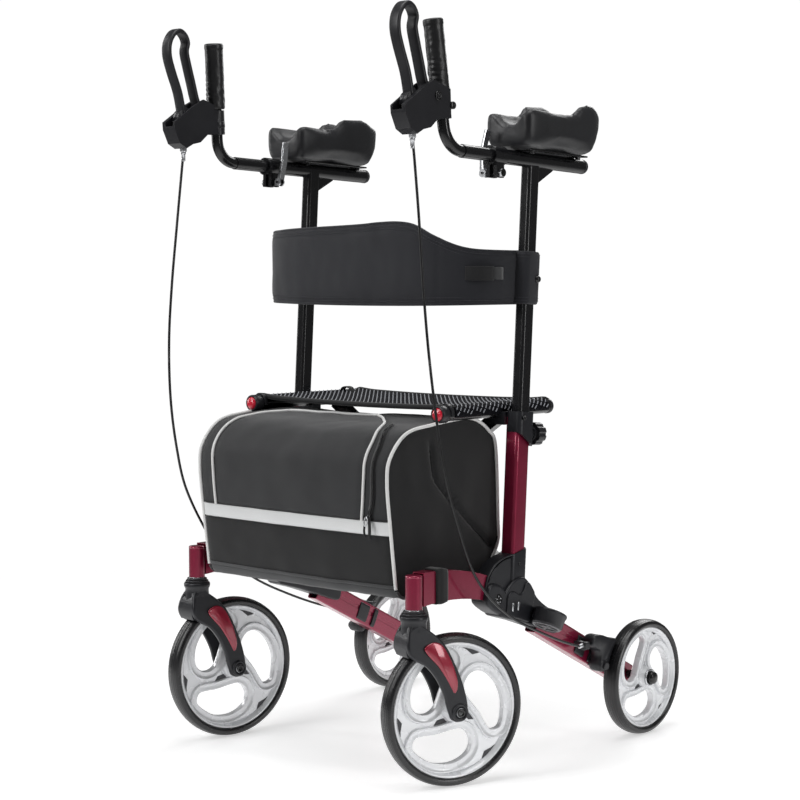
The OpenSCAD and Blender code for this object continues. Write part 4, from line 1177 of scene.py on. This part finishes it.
def swell(obj, pressure=3.0, cap=4.5, frames=20):
    """Fills a closed mesh with air as cloth, and keeps each point within cap millimetres."""
    start = coordinates(obj)
    modifier = obj.modifiers.new("cloth", "CLOTH")
    s = modifier.settings
    s.quality, s.mass = 5, 0.3
    s.tension_stiffness = s.compression_stiffness = 12
    s.bending_stiffness = 0.6
    s.use_pressure, s.uniform_pressure_force = True, pressure
    s.effector_weights.gravity = 0
    modifier.point_cache.frame_start, modifier.point_cache.frame_end = 1, frames
    scene = bpy.context.scene
    for f in range(1, frames + 1):
        scene.frame_set(f)
    bake(obj)
    scene.frame_set(1)
    move = coordinates(obj) - start
    size = np.linalg.norm(move, axis=1)
    move *= np.minimum(1, (cap / 1000) / np.maximum(size, 1e-9))[:, None]
    for v, p in zip(obj.data.vertices, start + move):
        v.co = p
    obj.data.update()


def forearm_pad(s):
    shape = loft([pad_ring(y, scale) for y, scale in PAD_SECTIONS])
    obj = part("pad_cushion", s, shape, "pad", "post", at=ARM @ place(0, 0, 16.2), stands_for="forearm_pad")
    voxel = 0.0045
    add_modifier(obj, "REMESH", mode="VOXEL", voxel_size=voxel, use_smooth_shade=True)
    bake(obj)
    swell(obj)
    add_modifier(obj, "SMOOTH", factor=0.5, iterations=4)
    bake(obj)
    add_modifier(obj, "SUBSURF", levels=1, render_levels=1)


for s in SIGN:
    forearm_pad(s)

# ---------- cables ----------

ROUTE_TOPS = {
    "left": [
        (*CABLE_TOP, 1056), (272, -324, 1020), (276, -318, 930), (280, -312, 820), (284, -304, 720), (288, -291, 620),
        (292, -276, 530), (296, -252, 450), (300, -215, 360), (303, -170, 305), (305, -110, 262)],
    "right": [
        (*CABLE_TOP, 1056), (272, -330, 1020), (276, -338, 930), (281, -347, 820), (286, -350, 720), (291, -343, 620),
        (296, -325, 530), (300, -298, 450), (303, -240, 360), (305, -185, 308), (306, -115, 264)],
}
ROUTE_END = [(305, -40, 230), (302, 30, 203), (298, 84, 186), (297, 101, 183)]
CABLE_SPLIT = 700  # height where the upper half takes over from the lower one


def cable(s, sign):
    """The cable's two halves: frame to post, and post to handle."""
    route = smooth_line(ROUTE_TOPS[s] + ROUTE_END, 8)
    low = [p for p in route if p[2] <= CABLE_SPLIT]
    high = [p for p in route if p[2] >= CABLE_SPLIT] + low[:1]
    lower, upper = (
        piece(f"cable_{name}_{s}", tube(line, 2.3, 10, up=(1, 0, 0)), "sleeve", None, side=sign)
        for name, line in (("lower", low), ("upper", high[::-1])))
    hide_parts("brake_cable_" + s)
    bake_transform(lower)
    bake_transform(upper)
    for half, run in ((upper, high), (lower, low)):
        run = [(sign * x / 1000, y / 1000, z / 1000) for x, y, z in run]


def cable_fittings(s):
    ferrule = [(0, -20), (3.1, -20), (3.4, -18.5), (3.4, -8), (4.4, -7.4), (4.4, 0), (3.0, 1.5), (0, 1.5)]
    part("cable_ferrule", s, lathe(ferrule, "Z", 24), "steel", "handle", at=place(*CABLE_TOP, 1060))
    nut = lathe([(0, -5), (5.6, -5), (6.2, -4), (6.2, 3), (5.4, 4), (0, 4)], "Z", 6)
    part("cable_nut", s, nut, "steel", "handle", at=place(*CABLE_TOP, 1062), smooth=False)
    stop = lathe([(0, 0), (3.2, 0), (3.9, 1), (3.9, 12), (3.2, 13), (0, 13)], "Y", 24)
    part("cable_end", s, stop, "steel", "frame", at=place(297, 88, 184.5))


for s, sign in SIDES:
    cable(s, sign)
    cable_fittings(s)

# ---------- seat rails ----------


def bolt(r, h, socket=True):
    """A bolt head standing along +X, with a socket or domed."""
    profile = [(0, 0.0), (r, 0.0), (r, h - 0.8), (r - 0.8, h)]
    if socket:
        profile += [(r * 0.52, h), (r * 0.50, h - 1.6), (0, h - 1.6)]
    else:
        profile += [(r * 0.4, h + 0.5), (0, h + 0.6)]
    return lathe(profile, "X", 32)


def bolt_at(r, h, *spot, socket=True):
    return moved(bolt(r, h, socket), place(*spot))


def washer(r, h):
    return lathe([(0, 0), (r - 0.4, 0), (r, 0.4), (r, h - 0.4), (r - 0.4, h), (0, h)], "X", 40)


def rail_fittings(s):
    """Front cap with its reflector, end cap, and the clip over the rail."""
    glass = lathe([(0, -4.6), (4, -4.3), (7.5, -3.4), (10, -1.8), (11.2, 0.4), (11.2, 2), (0, 2)], "Y", 48)
    part("rail_lens", s, glass, "lens", "brace", at=place(RAIL_X, -209.5, RAIL_Z))
    cap = [
        (0, 2), (11.4, 2), (11.4, -1.2), (12.4, -1.7), (14.2, -1.0), (14.9, 0.5), (14.9, 16), (14.2, 17), (12, 17.4),
        (0, 17.4)]
    part("rail_cap", s, lathe(cap, "Y", 48), "plastic", "brace", at=place(RAIL_X, -208.4, RAIL_Z))
    end = lathe([(0, -6), (12.9, -6), (13.3, -5), (13.3, 1), (12.0, 3.0), (0, 3.6)], "Y", 40)
    part("rail_end", s, end, "plastic", "brace", at=place(RAIL_X, 91, RAIL_Z))
    outer, inner = [(-15.5, -4), (-15, 6), (-10, 14), (-4, 17.5)], [(12.9, -4), (12.6, 2), (9, 9.8)]
    outline = outer + flipped(outer) + inner + [(0, 13)] + flipped(inner)
    clip = loft([[(RAIL_X + a, y, RAIL_Z + b) for a, b in outline] for y in (-190, -189, -183.5, -182.5)])
    part("rail_clip", s, clip, "plastic", "brace", bevel=0.5)


# ---------- caster forks ----------

FORK_BRIDGE = closed_line([
    (-25, 240), (-20, 262), (0, 273), (14, 267), (31, 254), (20, 249.5), (0, 239), (-12, 229.5), (-21, 222)], 4, 44)
FORK_ARM = closed_line([
    (-2, 281), (13, 269), (32, 254), (47, 236), (61, 210), (73, 184), (81.5, 158), (86, 134), (82, 118), (70, 110.5),
    (57, 115), (52, 126), (48, 137), (42, 158), (28.6, 184), (10.8, 205.6), (-8.4, 217), (-20, 225), (-25, 240),
    (-21, 262), (-13, 277)], 6, 120)
FORK_INLAY = smooth_line([
    (6, 236), (14, 243), (27, 245), (39, 238), (50, 220), (59, 200), (65, 180), (64.5, 166), (60, 160), (55, 168),
    (46, 184), (31, 206), (14, 224)], 5, True)


def fork_lean(x, z):
    """The arms come together towards the crown."""
    return math.copysign(abs(x) - 0.0055 * max(0, z - 226) ** 2, x)


def caster_fork(s):
    where = dict(at=CASTER[s], mirror=False)
    crown = lathe([
        (0, 244), (17, 244), (21, 248), (22, 256), (21, 270), (21, 277), (22.6, 279.5), (23.4, 282), (23.4, 286),
        (21.8, 288.6), (0, 289)], "Z", 64)
    shapes = [crown, stack(FORK_BRIDGE, ((-21, 0), (21, 0)))]
    arm_steps = ((20.2, -2), (20.6, -0.7), (21.6, 0), (25.5, 0), (27.2, -0.8), (28.4, -2.2), (29, -4.2))
    shapes += [stack(FORK_ARM, [(face * x, grow) for x, grow in arm_steps], fork_lean) for face in (1, -1)]
    part("fork", s, join(*shapes), "casting", "caster", bevel=0.8, angle=60, stands_for="caster_fork", **where)
    rings = join(
        ring_lathe([(10, 288.6), (19, 288.6), (20.4, 289.6), (20.4, 291.4), (19.4, 292.4), (12, 292.6)], "Z", 64),
        ring_lathe([(8, 292.4), (16.8, 292.4), (17.8, 293.2), (17.8, 295.4), (16.6, 296.2), (8, 296.2)], "Z", 64),
    )
    part("fork_rings", s, rings, "plastic", "caster", "dark_casting", **where)
    washers = ring_lathe([(6, 296), (14.2, 296), (14.6, 296.4), (14.6, 297.2), (14.2, 297.6), (6, 297.6)], "Z", 48)
    part("fork_washers", s, washers, "steel", "caster", **where)
    boss = lathe([(0, -2), (14.5, -2), (14.8, 1.5), (13.6, 3.6), (10.4, 4.2), (9.6, 1.4), (0, 1.4)], "X", 48)
    inlay_steps = ((27.8, 0.6), (29.1, 0.6), (29.9, -0.4), (30.3, -2.0))
    for face, tag in ((1, "a"), (-1, "b")):
        side = "outer" if face * SIGN[s] > 0 else "inner"
        inlay_shape = stack(FORK_INLAY, [(face * x, grow) for x, grow in inlay_steps], fork_lean)
        part("fork_inlay_" + side, s, inlay_shape, "inlay", "caster", **where)
        spot = dict(at=CASTER[s] @ place(face * 29, TRAIL, FRONT_R, ("Z", 0 if face > 0 else 180)), mirror=False)
        part("fork_boss_" + tag, s, boss, "casting", "caster", **spot)
        part("axle_bolt_" + tag, s, bolt_at(7.4, 4.6, 1, 0, 0), "gloss", "caster", "axle_black", **spot)
    cap = lathe([(0, 1.8), (9, 1.6), (13.4, 0.8), (14.4, -0.8), (14.4, -3), (0, -3)], "Z", 48)
    part("head_cap", s, cap, "crimson", "frame", at=place(HEAD_X, HEAD_Y, 352.6))


# ---------- rear brakes ----------

CLAMP_X, CLAMP_Z = 297, 183  # of the cable's end
SHOE = closed_line([
    (118, 183), (120, 195), (130, 200), (146, 198), (170, 190), (187, 186.5), (190.3, 181.7), (183.9, 174.3),
    (178, 166.4), (173, 158.1), (168.5, 148.9), (159, 136), (150, 131), (141, 134), (138.5, 144), (143, 158),
    (141, 169), (130, 175)], 4, 72)


def rear_brake(s):
    """The clamp on the leg with its cable stop and pivot rod, and the shoe."""
    clamp_steps = ((122, 0.95), (123, 1), (150, 1), (151, 0.95))
    clamp = loft([[(a * k, b * k, h) for a, b in rounded(29, 35, 5, 5)] for h, k in clamp_steps])
    hoop = loft([level(rounded(31, 37, 5, 5), h) for h in (166, 176)])
    block = loft([
        [(CLAMP_X + a, y, CLAMP_Z + b) for a, b in rounded(12 - g, 14 - g, 3)]
        for y, g in ((100, 1.5), (101, 0), (112, 0), (113, 1.5))])
    arm = sweep([(276, 106, 186), (286, 106, 187), (CLAMP_X, 106, 184)], rounded(10, 8, 2))
    rod = lathe([(0, 272), (4, 272), (4, 311), (6.6, 311), (6.6, 313.6), (5.8, 314.4), (0, 314.4)], "X", 32)
    bracket = join(moved(join(clamp, hoop), LEG_ALONG), block, arm, moved(rod, place(0, *SHOE_PIVOT)))
    part("bracket_clamp", s, bracket, "plastic", "frame", bevel=0.6, angle=45, stands_for="brake_bracket")
    shoe = stack(SHOE, ((283, -2.2), (284, -0.8), (286, 0), (304, 0), (306, -0.8), (307, -2.2)))
    hub = lathe([(0, 281), (9.5, 281), (10.5, 282), (10.5, 308), (9.5, 309), (0, 309)], "X", 40)
    shape = join(shoe, moved(hub, place(0, *SHOE_PIVOT)))
    part("shoe_arm", s, shape, "plastic", "brake_shoe", stands_for="brake_shoe")


# ---------- frame joints ----------

JOINT_BODY = closed_line([
    (-113, 263), (-112, 275), (-106, 290), (-96, 304), (-80, 316), (-64, 322), (-48, 322), (-34, 312), (-22, 296),
    (-8, 280), (14, 265), (38, 252), (50, 243), (53, 228), (47, 213), (30, 215), (-10, 229), (-60, 246),
    (-98, 257)], 5, 96)
JOINT_PANEL = closed_line([
    (-96, 263), (-97, 280), (-96, 292), (-89, 300), (-80, 302), (-71, 298), (-61, 294), (-53, 299), (-46, 311),
    (-37, 312), (-27, 301), (-21, 290), (-26, 272), (-32, 257), (-38, 244), (-60, 250)], 5, 80)
JOINT_BOSS = closed_line([
    (-148, 287), (-147, 302), (-143, 314), (-132, 320), (-117, 318), (-105, 311), (-98, 303), (-95, 290), (-95, 264),
    (-106, 262), (-128, 272)], 5, 80)
JOINT_WEB = even([
    (-146, 290), (-144, 312), (-138, 327), (-124, 345), (-100, 357), (-75, 361), (-75.5, 340), (-77.5, 300),
    (-90, 280), (-146, 290)], 81)[:-1]
JOINT_FIN = [
    (-148, 289), (-146, 301), (-144, 313), (-139.5, 328), (-133, 337), (-124, 346), (-113, 353), (-99, 358.5),
    (-84, 361.5), (-72, 362.5)]
JOINT_BOLT = (-119, 292)
NOTCH_Z = 292  # the middle of the body stops here and leaves room for the height post's foot


def joint_casing(s):
    """Two cheeks round a notched middle, with a panel, a boss and a web, and a fin along the front edge."""
    notched = [(y, min(z, NOTCH_Z)) for y, z in JOINT_BODY]
    body = loft(
        slices(JOINT_BODY, ((245, -3), (246, -1), (248, 0), (249.4, 0))) + slices(notched, ((249.6, 0), (275.2, 0)))
        + slices(JOINT_BODY, ((275.4, 0), (278, 0), (280.2, -0.9), (281.2, -3))))
    panel = stack(JOINT_PANEL, ((276, 0), (282.2, 0), (283.4, -0.8), (284, -2.4)))
    boss = stack(JOINT_BOSS, ((244.5, -2.5), (246, -0.8), (248, 0), (276, 0), (279, -1), (280.6, -3), (281, -5)))
    web = stack(JOINT_WEB, ((252, -3), (253, -2), (274, -2), (275, -3)))
    casing = join(body, panel, boss, web)
    part("joint_body", s, casing, "casting", "frame", bevel=0.7, angle=45, stands_for="frame_joint")
    fin = smooth_line([(POST_X, y, z) for y, z in JOINT_FIN], 6)
    part("joint_fin", s, sweep(fin, rounded(3.2, 26, 1.4), up=(1, 0, 0)), "casting", "frame")


def joint_tubes(s):
    """The hollow sleeve, its top sloping to the front, and the hollow red upright in it."""
    w, d, low, high = 35, 43, -16, 59

    def sloped(h, b):
        return h + 0.27 * (b + 21) if h >= high else h

    rows = [
        [(a * (1 + 2 * grow / w) - 3, b * (1 + 2 * grow / d) - 3, sloped(h, b)) for a, b in rounded(w, d, 8.5, 7)]
        for h, grow in ((low, -2.5), (-12, -0.6), (-6, 0), (high, 0), (61, -0.5), (61.6, -1.6))]
    rows += [[(a - 2.3, b - 2.5, sloped(h, b)) for a, b in rounded(28.6, 35.6, 6, 7)] for h in (high, low)]
    part("joint_sleeve", s, loft(rows, along=True), "casting", "frame", at=POST)
    rows = [[(a - 2.2, b - 2.5, h) for a, b in rounded(28, 35, 6, 6)] for h in (-12, 40, 100, 160, 220, 296)]
    rows += [[(a - 0.8, b - 0.8, h) for a, b in rounded(24.6, 30.6, 4.5, 6)] for h in (296, -12)]
    part("upright_tube", s, loft(rows, along=True), "crimson", "frame", at=POST, stands_for="upright")


def joint_bolts(s):
    disc = moved(washer(9.6, 0.9), place(280.6, *JOINT_BOLT))
    bolts = join(disc, bolt_at(3.0, 3.0, 280.8, *JOINT_BOLT), bolt_at(3.2, 2.4, 275.6, -56, 346))
    part("joint_bolts", s, bolts, "gloss", "frame", "dark_casting")
    turns = [math.radians(90 + 72 * k) for k in range(5)]
    star = [bolt_at(1.5, 2.0, 281, *polar(5.2, a, *JOINT_BOLT), socket=False) for a in turns]
    part("joint_star", s, join(*star), "steel", "frame")
    slots = [loft([
        [(x, y + a + b * 0.1, 275 + b) for a, b in rounded(w, h, w / 2 - 0.1, 5)]
        for x, w, h in ((282, 6, 15), (284.2, 6, 15), (284.8, 4.8, 13.6))]) for y in (-82.5, -67.5)]
    part("joint_slots", s, join(*slots), "steel", "frame")
    part("collar_bolt", s, bolt(4.2, 4.0), "gloss", "frame", "dark_casting", POST @ place(17, -12, 296))


# ---------- handles ----------

LEVER = [
    (-330, 1112), (-334, 1128), (-342, 1160), (-357, 1196), (-365.5, 1222), (-364.5, 1244), (-354, 1261),
    (-341, 1267), (-329, 1261), (-322.5, 1248), (-325.5, 1231), (-319, 1206), (-311, 1180), (-304, 1156),
    (-299, 1140), (-303, 1122)]
LEVER_FOOT = [(-349, 1108), (-345, 1124), (-330, 1136), (-318, 1130), (-318, 1108)]
LEVER_X = 268
GRIP_LOW, GRIP_LONG = 93, 115


def grip_fold(a, t, z):
    """Relief of the grip: finger folds on the lower half's front, and soft wear all over."""
    fold = 0.0
    if 0.04 <= t <= 0.45:
        fold = 0.5 * math.sin(z * 0.75 + 2.2 * math.sin(a + 0.6)) * max(0, math.cos(a - 5.2))
    if 0.05 < t < 0.92:
        c, s = math.cos(a), math.sin(a)
        fold += 1.1 * noise.noise(Vector((c * 1.4, s * 1.4, z * 0.05)) * 1.7) * (1.15 - t)
        fold += 0.5 * noise.noise(Vector((c * 3, s * 3, z * 0.16)))
    return fold


def grip_radius(t):
    if t < 0.03:
        return 14.8 + 1.4 * t / 0.03
    if t <= 0.93:
        return 16.2
    return 17.0 if t < 0.985 else 16.6 - 20 * (t - 0.985)


def grip(s):
    turns = [2 * math.pi * k / 40 for k in range(40)]
    rings = []
    for i in range(61):
        t = i / 60
        z = GRIP_LOW + GRIP_LONG * t
        rings.append([(*polar(grip_radius(t) + grip_fold(a, t, z), a), z) for a in turns])
    rings += [level(circle(r, 40), z) for r, z in ((14.6, 208.9), (9, 209.6), (0.4, 209.8))]
    part("grip", s, loft(rings), "rubber", "handle", at=HANDLE, stands_for="hand_grip")


def brake_lever(s):
    """The lever's bow, and the round parts on the housing at its pivot."""
    bow = sweep([(LEVER_X, y, z) for y, z in smooth_line(LEVER, 5)], rounded(8, 20.5, 3), up=(1, 0, 0))
    foot = stack(LEVER_FOOT, ((LEVER_X - 8, -1), (LEVER_X - 7, 0), (LEVER_X + 7, 0), (LEVER_X + 8, -1)))
    part("lever_bow", s, join(bow, foot), "plastic", "brake_lever", "lever_plastic", stands_for="brake_lever")
    ring = ring_lathe([(4.4, -0.6), (7.6, -0.6), (7.8, 1.6), (7.0, 2.4), (5.0, 2.4), (4.4, 1.6)], "X", 40)
    part("housing_ring", s, ring, "gloss", "handle", at=place(286, *LEVER_PIVOT))
    head = lathe([(0, 0), (6.2, 0), (6.2, 3.6), (5.6, 4.4), (0, 4.4)], "X", 24)
    slot = stack(rounded(1.4, 9, 0.6), ((4.2, 0), (5.0, 0)))
    part("housing_screw", s, join(head, slot), "gloss", "handle", at=place(284.5, -247, 1112))
    pin = join(moved(washer(6.6, 1.4), place(285.4, *LEVER_PIVOT)), bolt_at(4.6, 3.2, 286, *LEVER_PIVOT))
    part("housing_pin", s, pin, "gloss", "handle")
    collar = ring_lathe([(10.1, 60), (14.4, 60), (15, 61), (15, 71), (14.4, 72), (10.1, 72)], "Z", 48)
    part("housing_collar", s, collar, "plastic", "handle", at=HANDLE)


def arm_fittings(s):
    cap = lathe([(0, 3.4), (8, 3), (12.2, 1.2), (12.9, -1), (12.9, -6), (0, -6)], "Y", 48)
    part("arm_cap", s, cap, "plastic", "post", at=ARM @ place(0, 149, 0))
    nut = lathe([(0, 0), (7.2, 0), (7.8, 0.8), (7.8, 5.4), (7.2, 6.2), (0, 6.2)], "X", 6)
    part("clamp_nut", s, nut, "steel", "post", at=ARM @ place(11.2, -101, -29), smooth=False)


for s in SIGN:
    for build in (
        rail_fittings, caster_fork, rear_brake, joint_casing, joint_tubes, joint_bolts, grip, brake_lever, arm_fittings,
    ):
        build(s)

# ---------- cup for a walking stick ----------

CUP_AT = place(307, -20, 236, ("X", -27))
wall = lathe([
    (0, 0), (24, 0), (26.5, 0.8), (27.4, 3), (28.4, 20), (29.6, 21.5), (30, 24), (29.4, 26.4), (27.6, 27), (26, 26),
    (25, 20), (24.4, 4), (0, 3.4)], "Z", 72)
lug = moved(stack(rounded(26, 18, 5), ((-31, 0), (-20, 0))), place(0, 0, 12))
piece("cup_body", join(wall, lug), "plastic", "frame_left", at=CUP_AT, stands_for="walking_stick_cup")
spoke = loft([level(rounded(44, 3.2, 1), h) for h in (-1.6, 0.4)])
ribs = [moved(spoke, place(0, 0, 0, ("Z", turn))) for turn in (45, 135)]
ribs.append(ring_lathe([(20.5, -1.6), (24.6, -1.6), (25, 0.5), (20.5, 0.5)], "Z", 64))
ribs.append(ring_lathe([(6, -1.6), (9, -1.6), (9, 0.5), (6, 0.5)], "Z", 48))
piece("cup_ribs", join(*ribs), "light_plastic", "frame_left", "dark_plastic", CUP_AT)
